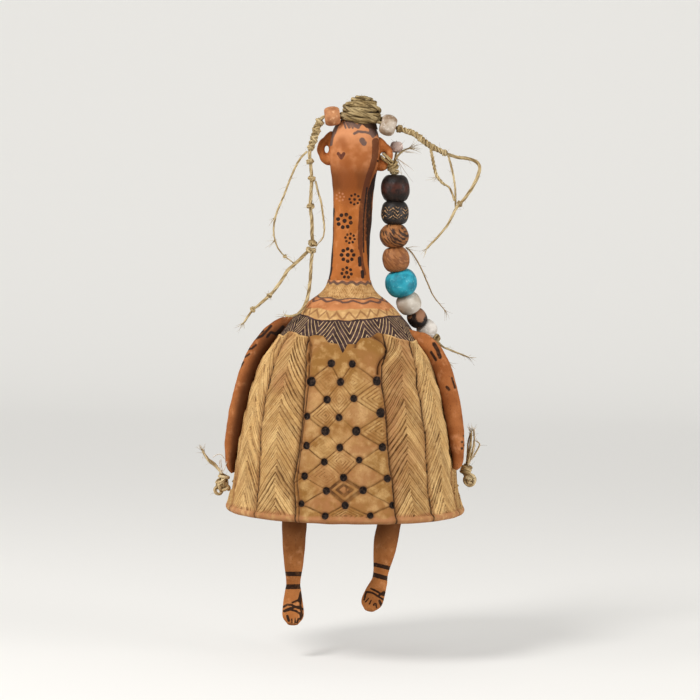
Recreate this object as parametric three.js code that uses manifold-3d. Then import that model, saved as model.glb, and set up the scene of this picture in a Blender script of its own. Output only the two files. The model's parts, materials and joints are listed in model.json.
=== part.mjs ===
// A terracotta bell doll, hung by its topknot: a hollow fired bell with a long neck and a head, arms and
// pierced ears luted on, two legs that swing on a twine across the inside of the bell, a topknot wound from
// twine with loose twine hair at both sides, and a strand of beads tied through one ear.
// Millimetres, +Z up. The doll looks along -Y, and left (-X) and right (+X) are the onlooker's.
// Heights are measured from the bell's rim. The finished group is lowered so that its origin is the hanging
// point, on the bell's axis and level with the top of the topknot.

import * as THREE from "three";
import { mergeVertices } from "three/addons/utils/BufferGeometryUtils.js";
import Module from "manifold-3d";

// Clearances
const SEAT_GAP = 0.3; // between a luted or resting piece and its seat
const BORE_GAP = 0.4; // around a cord in its bore
const BEAD_GAP = 0.6; // between neighbouring beads on the strand
const SWING_GAP = 0.8; // between the tie and the cord that swings under it

// Bell, neck and head: radii and heights of the outline, from the rim up
const RIM_RADIUS = 67.5;
const RIM_ROUND = 2.2;
const RIM_FLARE = 3.7; // how far the rim stands out from the skirt above it
const FLARE_HEIGHT = 18;
const HIP_DRAW = 3.4; // how much slimmer the skirt is at the hip
const HIP_HEIGHT = 44;
const CHEST_RADIUS = 49.8;
const CHEST_HEIGHT = 84.5;
const SHOULDER_RADIUS = 27;
const SHOULDER_HEIGHT = 114;
const COLLAR_RADIUS = 13.4;
const COLLAR_RISE = 13; // from the shoulder to the collar
const NECK_RADIUS = 10.8;
const NECK_TAPER = 20; // from the collar to the slim part of the neck
const NECK_LENGTH = 57; // from the collar to the chin
const CHIN_RADIUS = 11.8;
const CHIN_FLARE = 16; // from the slim part of the neck to the chin
const HEAD_HALF_WIDTH = 14.3;
const HEAD_HALF_DEPTH = 12.8;
const HEAD_SHIFT = 1.5; // the neck leans the head a little to the right of the bell's axis
const JAW_HEIGHT = 17; // from the chin to the widest part of the head
const SKULL_HEIGHT = 21.5; // from the widest part to the crown
const SKULL_FULLNESS = 2.6; // 2 would be an ellipse
const WALL = 6;

// Skirt: panels of pressed leaves between seams, and at the front one panel with rows of dots
const SKIRT_DROP = 14.5; // from the shoulder to the skirt's upper edge
const EDGE_NOTCH = 7.5; // how far the edge dips in the middle of the front panel
const EDGE_STEP = 0.9; // how far the skirt stands out from the shoulder above its edge
const EDGE_FALL = 0.6; // along the flank, over which that step falls
const EDGE_HOLLOW = 9; // how far above the edge the shoulder comes out again
const BACK_PANELS = 10; // from the right front panel to the left one
const SEAM_DEPTH = 1;
const SEAM_HALF_WIDTH = 2;
const LEAF_DEPTH = 0.8; // from the tip of one leaf down to the foot of the next
const LEAF_FALL = 1; // along the flank, over which a tip falls
const LEAF_FIRST = 10; // along the flank, from the rim to the first row's middle
const LEAF_STEP = 18.5;
const LEAF_RISE = 1.35; // how steeply the rows climb from the seams to the middle of their panel
const LEAF_FADE = 3; // over which seams and rows run out at the rim and at the edge
const DOT_DROP = 12.8; // from the skirt's edge to the first row of dots
const DOT_STEP = 9.9; // to the second row
const DOT_CLOSING = 0.17; // how the rows draw closer towards the rim
const DOT_RADIUS = 2.25;
const DOT_DEPTH = 1;
const DOT_MIDDLE = -4; // degrees from the front, where the first row's middle is
const DOT_DRIFT = 0.45; // degrees to the right, from one row to the next
const DOT_INNER = 7; // degrees from the middle, in rows of two
const DOT_INNER_SPREAD = 0.35; // more with each row
const DOT_OUTER = 20; // degrees from the middle, in rows of three
const DOT_OUTER_SPREAD = 0.2;

// The seams at the front, in degrees to the right of the middle, at shares of the skirt's height
const SEAM_SHARES = [0, 0.45, 0.77, 1];
const INNER_RIGHT_SEAM = [24.8, 22.4, 21.2, 31];
const OUTER_RIGHT_SEAM = [46.6, 48, 47.7, 57.5];
const OUTER_LEFT_SEAM = [312.6, 307, 304, 299.2];
const INNER_LEFT_SEAM = [336.6, 335, 334, 326.1];

// Crown knob and the twine wound on it
const KNOB_SHIFT = 4.2; // to the right of the bell's axis
const KNOB_BACK = 1;
const KNOB_LEAN = 5; // degrees, to the right
const KNOB_SEAT = 2; // the knob's reference level, under the crown
const KNOB_ROOT = 4; // how far the knob reaches down into the skull
const KNOB_HEIGHT = 13.5;
const KNOB_BASE_RADIUS = 9;
const KNOB_TOP_RADIUS = 3;
const COIL_TWINE = 1.6;
const COIL_TURN_GAP = 0.42; // between one turn of the twine and the next
const COIL_FIRST_TURN = 0.3; // height of the lowest turn on the knob
const COIL_START = -112; // degrees round the knob, where the twine leaves for the left temple

// Ears
const EAR_STANDOFF = 0.4; // from the side of the head to the middle of the ear's arc
const EAR_ARC = 4.8; // radius of the ear's arc
const EAR_THICKNESS = 4.4;
const EAR_DEPTH = 5.6; // front to back
const EAR_RISE = 18; // above the chin
const EAR_SPAN = 125; // degrees, each way from straight out

// Arms: radii from the shoulder to the fingertips
const LEFT_ARM_DROP = 1; // from the shoulder to the arm's upper end
const RIGHT_ARM_DROP = 9;
const RIGHT_HAND_RISE = 6; // how much higher the right hand ends above its knot
const ARM_ROOT_RADIUS = 1.6;
const UPPER_ARM_RADIUS = 4.7;
const FOREARM_RADIUS = 4.6;
const WRIST_RADIUS = 3.8;
const HAND_RADIUS = 3.3;
const UPPER_ARM_SHARE = 0.16; // shares of the way down the arm
const FOREARM_SHARE = 0.6;
const WRIST_SHARE = 0.84;
const HAND_SHARE = 0.95;

// Leg cord, legs and hand knots
const TWINE = 2;
const LEG_CORD_HEIGHT = 15.5;
const LEG_SPREAD = 28.5; // from the bell's axis to each leg
const LEG_CROWN = 6; // from the cord to the top of the leg
const LEG_CROWN_RADIUS = 5;
const CALF_RADIUS = 6.75;
const CALF_DROP = 33; // from the cord to the fullest part of the calf
const THIGH_DROP = 8;
const THIGH_RADIUS = 6.4;
const LEFT_ANKLE_DROP = 59.3; // from the cord to the ankle
const RIGHT_ANKLE_DROP = 54.6;
const LEFT_FOOT_LENGTH = 23;
const RIGHT_FOOT_LENGTH = 21.5;
const ANKLE_RADIUS = 4.3;
const ANKLE_TAPER = 14; // from the calf to the ankle, at least
const HEEL_RADIUS = 5;
const FOOT_HALF_WIDTH = 5.9;
const FOOT_HALF_HEIGHT = 3.7;
const BALL_HALF_HEIGHT = 3;
const TOE_HALF_HEIGHT = 1.8;
const INSTEP_SHARE = 0.45; // shares of the foot's length
const BALL_SHARE = 0.8;
const KNOT_RADIUS = 4.2;
const KNOT_HALF_HEIGHT = 4.8;

// Beads: diameter, length along the cord, and the flat round each end of the bore
const BEAD_BORE = 3.2;
const BEAD_FLAT = 5.2; // diameter of the flat at each end
const TEMPLE_BEAD_DIAMETER = 10;
const TEMPLE_BEAD_LENGTH = 7.6;
const EAR_BEAD_DIAMETER = 6.4;
const EAR_BEAD_LENGTH = 5;

// The earring strand hangs beside the neck and drapes over the shoulder
const TIE_ANGLE = 42; // degrees below level, where the tie's loop holds the ear
const TIE_DROP = 5.4; // from the loop to the top of the strand
const TIE_OUT = 2.4;
const TIE_RADIUS = 2.7;
const STRAND_BACKWARD = 30; // degrees, how far the draped end turns to the back
const STRAND_REST_GAP = 0.4; // between the draped beads and the shoulder or arm
const STRAND_STRAIGHT = 4; // beads that hang straight down, before the strand drapes over the shoulder
const STRAND_MOST_BEND = 22; // degrees from one bead to the next
const END_KNOT_RADIUS = 3;
const FIBRE = 1.2; // the thinnest strands

// Facets
const RING_SIDES = 32;
const LIMB_SIDES = 12;
const BEAD_SIDES = 14;
const CORD_SIDES = 8;
const COIL_SIDES = 6;
const COIL_STEPS = 24; // along each turn
const CORD_STEP = 4; // length of a cord's straight step
const FLANK_STEPS = 30;
const HOLLOW_STRIDE = 2; // the hollow follows every second point of the flank
const DOME_STEPS = 6;
const RIM_STEPS = 2;
const DOT_SIDES = 8;
const BELLY_STEPS = 6;
const EAR_STEPS = 8;
const ARM_STEPS = 18;
const LEG_STEPS = 2; // from one station of the leg to the next
const POLE_RADIUS = 0.01; // the small ring that closes the crown
const MERGE_TOLERANCE = 1e-4;
const TURN_STEP = 1e-3; // share of a turn over which the twine's direction is taken

const FLARE_RADIUS = RIM_RADIUS - RIM_FLARE;
const HIP_RADIUS = FLARE_RADIUS - HIP_DRAW;
const COLLAR_HEIGHT = SHOULDER_HEIGHT + COLLAR_RISE;
const CHIN_HEIGHT = COLLAR_HEIGHT + NECK_LENGTH;
const WIDEST_HEIGHT = CHIN_HEIGHT + JAW_HEIGHT;
const CROWN_HEIGHT = WIDEST_HEIGHT + SKULL_HEIGHT;
const EAR_HEIGHT = CHIN_HEIGHT + EAR_RISE;
const EAR_REACH = HEAD_HALF_WIDTH + EAR_STANDOFF;
const SKIRT_HEIGHT = SHOULDER_HEIGHT - SKIRT_DROP;

// Finishes
const BODY_CLAY = { color: 0xb5803f, roughness: 0.85 };
const EAR_CLAY = { color: 0x92542a, roughness: 0.85 };
const ARM_CLAY = { color: 0xb87850, roughness: 0.85 };
const LEG_CLAY = { color: 0x7c441d, roughness: 0.85 };
const PALE_TWINE = { color: 0xa7895b, roughness: 0.95 };
const DARK_TWINE = { color: 0x866c45, roughness: 0.95 };
const TAN_STONE = { color: 0xdaa981, roughness: 0.7 };
const GREY_STONE = { color: 0xbca997, roughness: 0.75 };
const PINK_STONE = { color: 0xcdb0a4, roughness: 0.7 };

// The strand's beads, from the ear down
const STRAND_BEADS = [
  { name: "charred_bead", diameter: 16.3, length: 13.2, finish: { color: 0x3a2114, roughness: 0.7 } },
  { name: "carved_bead", diameter: 15.2, length: 12, finish: { color: 0x1c130d, roughness: 0.65 } },
  { name: "streaked_bead", diameter: 16.4, length: 12, finish: { color: 0x6b452a, roughness: 0.6 } },
  { name: "tan_bead", diameter: 15, length: 12.4, finish: { color: 0x9d683e, roughness: 0.6 } },
  { name: "turquoise_bead", diameter: 18, length: 13.4, finish: { color: 0x2d727a, roughness: 0.6 } },
  { name: "grey_bead", diameter: 13.6, length: 10, finish: { color: 0x9d9080, roughness: 0.7 } },
  { name: "dark_bead", diameter: 10.6, length: 8.2, finish: { color: 0x3b2a20, roughness: 0.65 } },
  { name: "white_bead", diameter: 10.4, length: 8.2, finish: { color: 0xb9b0a2, roughness: 0.7 } },
];

// The arms are pressed on by hand: height of the shoulder end, how far the arm sits to the front of the
// bell's side, in degrees, how far its round is pressed into the bell, and how much higher its hand ends
const ARMS = [
  { name: "left_arm", side: -1, top: SHOULDER_HEIGHT - LEFT_ARM_DROP, forward: 0, sink: 0.5, rise: 0 },
  {
    name: "right_arm", side: 1, top: SHOULDER_HEIGHT - RIGHT_ARM_DROP, forward: 14, sink: 1,
    rise: RIGHT_HAND_RISE,
  },
];

// Each leg is fired by itself, so the two differ: length to the ankle, lean, and how the foot points
const LEGS = [
  {
    name: "left_leg", side: -1, lean: 0, ankleDrop: LEFT_ANKLE_DROP,
    footLength: LEFT_FOOT_LENGTH, footPitch: 58, footTurn: 2,
  },
  {
    name: "right_leg", side: 1, lean: 8.5, ankleDrop: RIGHT_ANKLE_DROP,
    footLength: RIGHT_FOOT_LENGTH, footPitch: 50, footTurn: -14,
  },
];

// Routes of the hair, point by point, in heights from the crown
const LEFT_HAIR_ROUTE = [
  [-1.6, -7.6, -1], [-4.2, -6.7, 0], [-6.4, -6.5, 0.4], [-11.3, -6.6, -0.2], [-16.4, -6.7, -0.8],
  [-19.4, -6.4, -5.5], [-20.8, -6, -11], [-23.5, -5, -19.9], [-23.1, -5, -26.5], [-22.3, -5, -35],
  [-22.4, -5, -43], [-22.6, -5, -51], [-21.7, -5, -58.5], [-21.4, -5, -66.5], [-20.9, -5, -72.9],
];
const LEFT_TAIL_ROUTE = [
  [-22.7, -5.3, -74.9], [-28.6, -6, -81.2], [-34.6, -7, -86.8], [-38.6, -7.3, -93.5], [-43.4, -8, -99.7],
  [-50, -8, -106], [-54, -8, -109.5], [-58.8, -8, -116.7],
];
const LEFT_DROP_ROUTE = [
  [-21, -5, -75.1], [-21.6, -5, -81.5], [-21.8, -5.6, -88.5], [-22.3, -7.2, -95.7], [-23.3, -9.6, -101.9],
  [-25, -13.4, -106.5], [-27.4, -16.8, -109.9], [-30, -17, -111.5], [-33.2, -14.6, -112.1],
  [-35.6, -10.8, -111.9],
];
const LEFT_SIDE_ROUTE = [
  [-20, -5.2, -36.3], [-18.6, -5.5, -42.2], [-16.6, -6, -48.5], [-15.5, -6, -55.7], [-14.6, -6.2, -62.5],
  [-15.2, -6.4, -67.9], [-17.6, -6.4, -71.1],
];
const LEFT_LOOP_ROUTE = [
  [-24.9, -5, -19.9], [-29.1, -5.5, -24.6], [-33.4, -6.5, -33.6], [-37.7, -7.5, -45.3], [-41.7, -8, -55.5],
  [-42.9, -8, -65], [-41.1, -8, -73], [-37.2, -7.6, -78.3], [-32.4, -6.9, -81.9],
];
const RIGHT_HAIR_ROUTE = [
  [13.3, -6.4, -2.6], [15.2, -6.3, -3.2], [20, -6, -4.6], [24.8, -5.7, -6], [29, -7.6, -7.2],
  [34.8, -9.6, -9.2], [42.8, -11.6, -15.1], [49.6, -11.6, -18.5], [58.1, -11.6, -21.6],
  [66.5, -11.6, -22.8], [71.2, -11.6, -25.9], [70.4, -11.6, -32.3], [65.5, -11.6, -42],
  [58.9, -11.6, -50.2], [53.2, -11.6, -61.2], [42.7, -11.6, -73.1],
];
const RIGHT_MIDDLE_ROUTE = [
  [54.2, -11.6, -22.1], [56.2, -11.6, -28.9], [58, -11.6, -38.3], [58.5, -11.6, -48.3],
];
const RIGHT_INNER_ROUTE = [
  [44, -11.6, -17.7], [45.5, -11.6, -24.4], [47.4, -11.6, -31.7], [51, -11.6, -36.3], [54.6, -11.6, -38.5],
  [56.8, -11.6, -42.9],
];

// Tails, point by point, from the middle of the knot that they leave
const TIE_TAIL_ROUTE = [[0, 0, 0], [2.6, 1, 5.6], [5.6, 1.5, 8.8], [9.6, 1.5, 10.6]];
const TIE_BEAD_ROUTE = [
  [0, 0, 0], [1.4, 3.6, 4.6], [2.1, 5.2, 8.4], [2.1, 5.4, 10.9], [2.1, 5.6, 13.4], [2, 5.9, 15],
];
const LEFT_HAND_TAIL_ROUTE = [[0, 0, 0], [-3.4, 0, 5], [-8, 0, 12], [-11.8, 0, 18]];
const RIGHT_HAND_TAIL_ROUTE = [[0, 0, 0], [3, 0, 5], [3.2, 0, 14], [3.4, 0, 26]];
const END_TAIL_ROUTES = [
  [[0, 0, 0], [3.4, 1, -4.4], [8.6, 1.4, -6.8], [18.6, 1.4, -10.6]],
  [[0, 0, 0], [2.8, -0.6, -6], [5, -1.2, -10.4], [8, -2, -14]],
];

// The stray fibre, point by point, from the top of the strand
const FIBRE_ROUTE = [
  [6.56, 0.9, -41.23], [8.96, 1.5, -43.08], [11.56, 1.5, -46.38], [15.26, 0.8, -52.68],
  [19.36, 0.4, -61.48], [22.86, 0, -68.58], [29.36, 0, -76.48],
];

// The points of their routes that the threaded beads sit on
const LEFT_BEAD_POINT = 3;
const RIGHT_BEAD_POINT = 2;
const EAR_BEAD_POINT = 3;

const wasm = await Module();
wasm.setup();

const UP = new THREE.Vector3(0, 0, 1);
const RIGHT = new THREE.Vector3(1, 0, 0);
const FRONT = new THREE.Vector3(0, -1, 0);
const { clamp, degToRad, lerp, smoothstep } = THREE.MathUtils;

// Geometry helpers

function toVectors(route) {
  return route.map((point) => new THREE.Vector3(...point));
}

function toSolid(geometry, matrix = new THREE.Matrix4()) {
  const bare = geometry.clone();
  bare.deleteAttribute("normal");
  bare.deleteAttribute("uv");
  bare.applyMatrix4(matrix);
  const merged = mergeVertices(bare, MERGE_TOLERANCE);
  const triangles = [];
  for (let corner = 0; corner < merged.index.count; corner += 3) {
    const triangle = [0, 1, 2].map((offset) => merged.index.getX(corner + offset));
    if (new Set(triangle).size === triangle.length) triangles.push(...triangle);
  }
  const mesh = new wasm.Mesh({
    numProp: 3,
    vertProperties: new Float32Array(merged.getAttribute("position").array),
    triVerts: new Uint32Array(triangles),
  });
  return new wasm.Manifold(mesh);
}

function toGeometry(solid) {
  const mesh = solid.getMesh();
  const geometry = new THREE.BufferGeometry();
  geometry.setAttribute("position", new THREE.BufferAttribute(mesh.vertProperties, 3));
  geometry.setIndex(new THREE.BufferAttribute(mesh.triVerts, 1));
  geometry.computeVertexNormals();
  return geometry;
}

// An oval ring of points, turning from side towards up
function ovalRing(centre, side, up, sideRadius, upRadius, count) {
  return Array.from({ length: count }, (_, step) => {
    const turn = (2 * Math.PI * step) / count;
    return centre.clone()
      .addScaledVector(side, sideRadius * Math.cos(turn))
      .addScaledVector(up, upRadius * Math.sin(turn));
  });
}

// A closed skin over a row of rings that turn the right-handed way about the row, with a fan on each end
function loft(rings) {
  const sides = rings[0].length;
  const ends = [rings[0], rings.at(-1)].map((ring) => {
    const middle = new THREE.Vector3();
    ring.forEach((point) => middle.addScaledVector(point, 1 / sides));
    return middle;
  });
  const positions = [...rings.flat(), ...ends].flatMap((point) => point.toArray());
  const firstMiddle = rings.length * sides;
  const lastRing = (rings.length - 1) * sides;
  const index = [];
  for (let side = 0; side < sides; side += 1) {
    const next = (side + 1) % sides;
    for (let start = 0; start < lastRing; start += sides) {
      index.push(start + side, start + next, start + sides + next);
      index.push(start + side, start + sides + next, start + sides + side);
    }
    index.push(firstMiddle, next, side);
    index.push(firstMiddle + 1, lastRing + side, lastRing + next);
  }
  const geometry = new THREE.BufferGeometry();
  geometry.setAttribute("position", new THREE.Float32BufferAttribute(positions, 3));
  geometry.setIndex(index);
  geometry.computeVertexNormals();
  return geometry;
}

// A tube of one diameter along a curve
function tube(curve, diameter, sides, steps) {
  const section = new THREE.Shape(
    Array.from({ length: sides }, (_, side) => {
      const turn = (2 * Math.PI * side) / sides;
      return new THREE.Vector2(Math.cos(turn), Math.sin(turn)).multiplyScalar(diameter / 2);
    }),
  );
  return new THREE.ExtrudeGeometry(section, { steps, bevelEnabled: false, extrudePath: curve });
}

function cord(route, diameter) {
  const curve = new THREE.CatmullRomCurve3(toVectors(route));
  const steps = Math.ceil(curve.getLength() / CORD_STEP);
  return tube(curve, diameter, CORD_SIDES, steps);
}

// A turned piece from its outline of radius and height
function turned(outline, sides) {
  const geometry = new THREE.LatheGeometry(outline, sides);
  geometry.rotateX(Math.PI / 2);
  return geometry;
}

// A bead bored along Z: two flats and a round belly
function bead(diameter, length) {
  const outline = [];
  for (let step = 0; step <= BELLY_STEPS; step += 1) {
    const turn = (Math.PI * step) / BELLY_STEPS;
    const radius = lerp(BEAD_FLAT / 2, diameter / 2, Math.sqrt(Math.sin(turn)));
    outline.push(new THREE.Vector2(radius, (-Math.cos(turn) * length) / 2));
  }
  outline.push(new THREE.Vector2(BEAD_BORE / 2, length / 2));
  outline.push(new THREE.Vector2(BEAD_BORE / 2, -length / 2));
  outline.push(outline[0].clone());
  return turned(outline, BEAD_SIDES);
}

function lump(radius, halfHeight) {
  return new THREE.SphereGeometry(radius, LIMB_SIDES, LIMB_SIDES / 2).rotateX(Math.PI / 2)
    .scale(1, 1, halfHeight / radius);
}

function addMesh(parent, name, geometry, finish) {
  const material = new THREE.MeshStandardMaterial({ ...finish, metalness: 0 });
  const mesh = new THREE.Mesh(geometry, material);
  mesh.name = name;
  parent.add(mesh);
  return mesh;
}

// The bell's outline

const flank = new THREE.SplineCurve([
  new THREE.Vector2(RIM_RADIUS, RIM_ROUND),
  new THREE.Vector2(FLARE_RADIUS, FLARE_HEIGHT),
  new THREE.Vector2(HIP_RADIUS, HIP_HEIGHT),
  new THREE.Vector2(CHEST_RADIUS, CHEST_HEIGHT),
  new THREE.Vector2(SHOULDER_RADIUS, SHOULDER_HEIGHT),
  new THREE.Vector2(COLLAR_RADIUS, COLLAR_HEIGHT),
  new THREE.Vector2(NECK_RADIUS, COLLAR_HEIGHT + NECK_TAPER),
  new THREE.Vector2(NECK_RADIUS, CHIN_HEIGHT - CHIN_FLARE),
  new THREE.Vector2(CHIN_RADIUS, CHIN_HEIGHT),
  new THREE.Vector2(HEAD_HALF_WIDTH, WIDEST_HEIGHT),
]);

const FLANK_LENGTH = flank.getLength();

// A point of the flank with its outward normal, at a length from the rim up
function flankAlong(along) {
  const at = along / FLANK_LENGTH;
  const tangent = flank.getTangentAt(at);
  return { along, point: flank.getPointAt(at), normal: new THREE.Vector2(tangent.y, -tangent.x) };
}

// Points on the flank, evenly spaced from the rim up
const flankPoints = Array.from({ length: FLANK_STEPS + 1 }, (_, step) => {
  return flankAlong((FLANK_LENGTH * step) / FLANK_STEPS);
});

// The flank at a height, between its points
function flankAt(height) {
  const above = flankPoints.findIndex(({ point }) => point.y > height);
  const upper = flankPoints[above];
  const lower = flankPoints[above - 1];
  const share = (height - lower.point.y) / (upper.point.y - lower.point.y);
  return {
    along: lerp(lower.along, upper.along, share),
    point: lower.point.clone().lerp(upper.point, share),
    normal: lower.normal.clone().lerp(upper.normal, share).normalize(),
  };
}

// The skirt's panels, from the front panel's right seam round the back to its left seam

const FRONT_PANEL = BACK_PANELS + 2;

function readSeam(angles, share) {
  const next = SEAM_SHARES.findIndex((at, step) => step > 0 && share <= at);
  const from = SEAM_SHARES[next - 1];
  return lerp(angles[next - 1], angles[next], (share - from) / (SEAM_SHARES[next] - from));
}

// Degrees from the front to a panel's first seam, at a share of the skirt's height
function seamTurn(panel, share) {
  const innerRight = readSeam(INNER_RIGHT_SEAM, share);
  if (panel === 0) return innerRight;
  if (panel === FRONT_PANEL) return readSeam(INNER_LEFT_SEAM, share);
  if (panel > FRONT_PANEL) return innerRight + 360;
  return lerp(readSeam(OUTER_RIGHT_SEAM, share), readSeam(OUTER_LEFT_SEAM, share), (panel - 1) / BACK_PANELS);
}

// The skin's columns: in each panel its seam, the seam's two banks and what lies between them
const columns = Array.from({ length: FRONT_PANEL + 1 }, (_, panel) => {
  const turn = degToRad(seamTurn(panel + 1, 0) - seamTurn(panel, 0));
  const bank = SEAM_HALF_WIDTH / (RIM_RADIUS * turn);
  const front = panel === FRONT_PANEL;
  const shares = front ? [0, bank, 0.25, 0.5, 0.75, 1 - bank] : [0, bank, 0.5, 1 - bank];
  return shares.map((share) => ({ panel, share, front, halfWidth: (HIP_RADIUS * turn) / 2 }));
}).flat();

function columnTurn({ panel, share }, height) {
  const level = clamp(height / SKIRT_HEIGHT, 0, 1);
  return degToRad(lerp(seamTurn(panel, level), seamTurn(panel + 1, level), share));
}

function edgeAlong({ front, share }) {
  const notch = front && share === 0.5 ? EDGE_NOTCH : 0;
  return flankAt(SKIRT_HEIGHT - notch).along;
}

// A point of a column on a row of leaves, whose middle lies at a length along the flank
function leafPoint(column, middle, depth) {
  const edge = edgeAlong(column);
  const fromMiddle = column.front ? 1 : Math.abs(2 * column.share - 1);
  const along = clamp(middle - LEAF_RISE * column.halfWidth * fromMiddle, 0, edge);
  const fade = smoothstep(Math.min(along, edge - along), 0, LEAF_FADE);
  const leaf = column.front ? 0 : depth;
  return { along, lift: -fade * (column.share === 0 ? SEAM_DEPTH : leaf) };
}

// The skirt's rows from the rim up to the shoulder's hollow, each a length along the flank and a lift for
// each column
function skirtRows() {
  const rows = [columns.map(() => ({ along: 0, lift: 0 }))];
  const highest = Math.max(...columns.map((column) => edgeAlong(column) + LEAF_RISE * column.halfWidth));
  for (let middle = LEAF_FIRST; middle < highest; middle += LEAF_STEP) {
    rows.push(columns.map((column) => leafPoint(column, middle - LEAF_FALL, 0)));
    rows.push(columns.map((column) => leafPoint(column, middle, LEAF_DEPTH)));
  }
  rows.push(columns.map((column) => ({ along: edgeAlong(column), lift: 0 })));
  rows.push(columns.map((column) => ({ along: edgeAlong(column) + EDGE_FALL, lift: -EDGE_STEP })));
  return rows;
}

// The fired body's outside, grown by a clearance for cutting what is luted to it
function skinPoint(turn, radius, height) {
  const share = smoothstep(height, CHIN_HEIGHT, WIDEST_HEIGHT);
  const depth = radius * lerp(1, HEAD_HALF_DEPTH / HEAD_HALF_WIDTH, share);
  const shift = HEAD_SHIFT * smoothstep(height, COLLAR_HEIGHT, CHIN_HEIGHT);
  return new THREE.Vector3(shift + radius * Math.sin(turn), -depth * Math.cos(turn), height);
}

function bodySkin(growth) {
  const rings = [];
  const addRing = (outlineAt) => {
    rings.push(columns.map((column, step) => {
      const { x: radius, y: height } = outlineAt(step);
      return skinPoint(columnTurn(column, height), radius, height);
    }));
  };
  for (let step = 0; step < RIM_STEPS; step += 1) {
    const turn = (Math.PI / 2) * (step / RIM_STEPS);
    const radius = RIM_RADIUS - RIM_ROUND + RIM_ROUND * Math.sin(turn);
    addRing(() => new THREE.Vector2(radius + growth, RIM_ROUND - RIM_ROUND * Math.cos(turn) - growth));
  }
  skirtRows().forEach((row) => addRing((step) => {
    const { point, normal } = flankAlong(row[step].along);
    return point.addScaledVector(normal, row[step].lift + growth);
  }));
  flankPoints
    .filter(({ point }) => point.y > SKIRT_HEIGHT + EDGE_HOLLOW)
    .forEach(({ point, normal }) => addRing(() => point.clone().addScaledVector(normal, growth)));
  for (let step = 1; step < DOME_STEPS; step += 1) {
    const turn = (Math.PI / 2) * (step / DOME_STEPS);
    addRing(() => new THREE.Vector2(
      (HEAD_HALF_WIDTH + growth) * Math.cos(turn) ** (2 / SKULL_FULLNESS),
      WIDEST_HEIGHT + (SKULL_HEIGHT + growth) * Math.sin(turn) ** (2 / SKULL_FULLNESS),
    ));
  }
  addRing(() => new THREE.Vector2(POLE_RADIUS, CROWN_HEIGHT + growth));
  return loft(rings);
}

// The round-bottomed dots in the front panel, in rows of two and three by turns, down to the rim
function dotCuts() {
  const round = (DOT_RADIUS ** 2 + DOT_DEPTH ** 2) / (2 * DOT_DEPTH);
  const cuts = [];
  let height = SKIRT_HEIGHT - DOT_DROP;
  for (let row = 0; height > RIM_ROUND; row += 1) {
    const { point, normal } = flankAt(height);
    const centre = point.addScaledVector(normal, round - DOT_DEPTH);
    const inner = DOT_INNER + DOT_INNER_SPREAD * row;
    const outer = DOT_OUTER + DOT_OUTER_SPREAD * row;
    const offsets = row % 2 === 0 ? [-inner, inner] : [-outer, 0, outer];
    offsets.forEach((offset) => {
      const turn = degToRad(DOT_MIDDLE + DOT_DRIFT * row + offset);
      const dot = new THREE.SphereGeometry(round, DOT_SIDES, DOT_SIDES);
      const place = skinPoint(turn, centre.x, centre.y);
      cuts.push(toSolid(dot, new THREE.Matrix4().makeTranslation(place)));
    });
    height -= DOT_STEP - DOT_CLOSING * (2 * row + 1);
  }
  return cuts;
}

// The hollow of the bell and neck, a wall's thickness inside the flank
function bodyHollow() {
  const outline = [new THREE.Vector2(0, -WALL), new THREE.Vector2(RIM_RADIUS - WALL, -WALL)];
  flankPoints
    .filter(({ point }, step) => point.y < CHIN_HEIGHT && step % HOLLOW_STRIDE === 0)
    .forEach(({ point, normal }) => outline.push(point.clone().addScaledVector(normal, -WALL)));
  outline.push(new THREE.Vector2(0, outline.at(-1).y + outline.at(-1).x));
  return turned(outline, RING_SIDES);
}

const crown = new THREE.Group();
crown.position.set(KNOB_SHIFT, KNOB_BACK, CROWN_HEIGHT - KNOB_SEAT);
crown.rotation.y = degToRad(KNOB_LEAN);
crown.updateMatrix();

const HANG_HEIGHT = crown.position.z + KNOB_HEIGHT + COIL_TWINE / 2;

// The clay knob that the topknot is wound on, tapering from the skull
function crownKnob() {
  const slope = (KNOB_TOP_RADIUS - KNOB_BASE_RADIUS) / KNOB_HEIGHT;
  const outline = [
    new THREE.Vector2(0, -KNOB_ROOT),
    new THREE.Vector2(KNOB_BASE_RADIUS - slope * KNOB_ROOT, -KNOB_ROOT),
    new THREE.Vector2(KNOB_TOP_RADIUS, KNOB_HEIGHT),
    new THREE.Vector2(0, KNOB_HEIGHT),
  ];
  return turned(outline, RING_SIDES / 2);
}

// A straight round bar along X, for the holes that the leg cord runs through
function crossBar(diameter) {
  const bar = new THREE.CylinderGeometry(diameter / 2, diameter / 2, 4 * RIM_RADIUS, CORD_SIDES);
  return bar.rotateZ(Math.PI / 2);
}

const legCordHole = toSolid(
  crossBar(TWINE + 2 * BORE_GAP),
  new THREE.Matrix4().makeTranslation(0, 0, LEG_CORD_HEIGHT),
);
const seatCut = toSolid(bodySkin(SEAT_GAP));

function buildBody() {
  const solid = toSolid(bodySkin(0))
    .add(toSolid(crownKnob(), crown.matrix))
    .subtract(toSolid(bodyHollow()))
    .subtract(legCordHole);
  return toGeometry(dotCuts().reduce((body, cut) => body.subtract(cut), solid));
}

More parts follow.
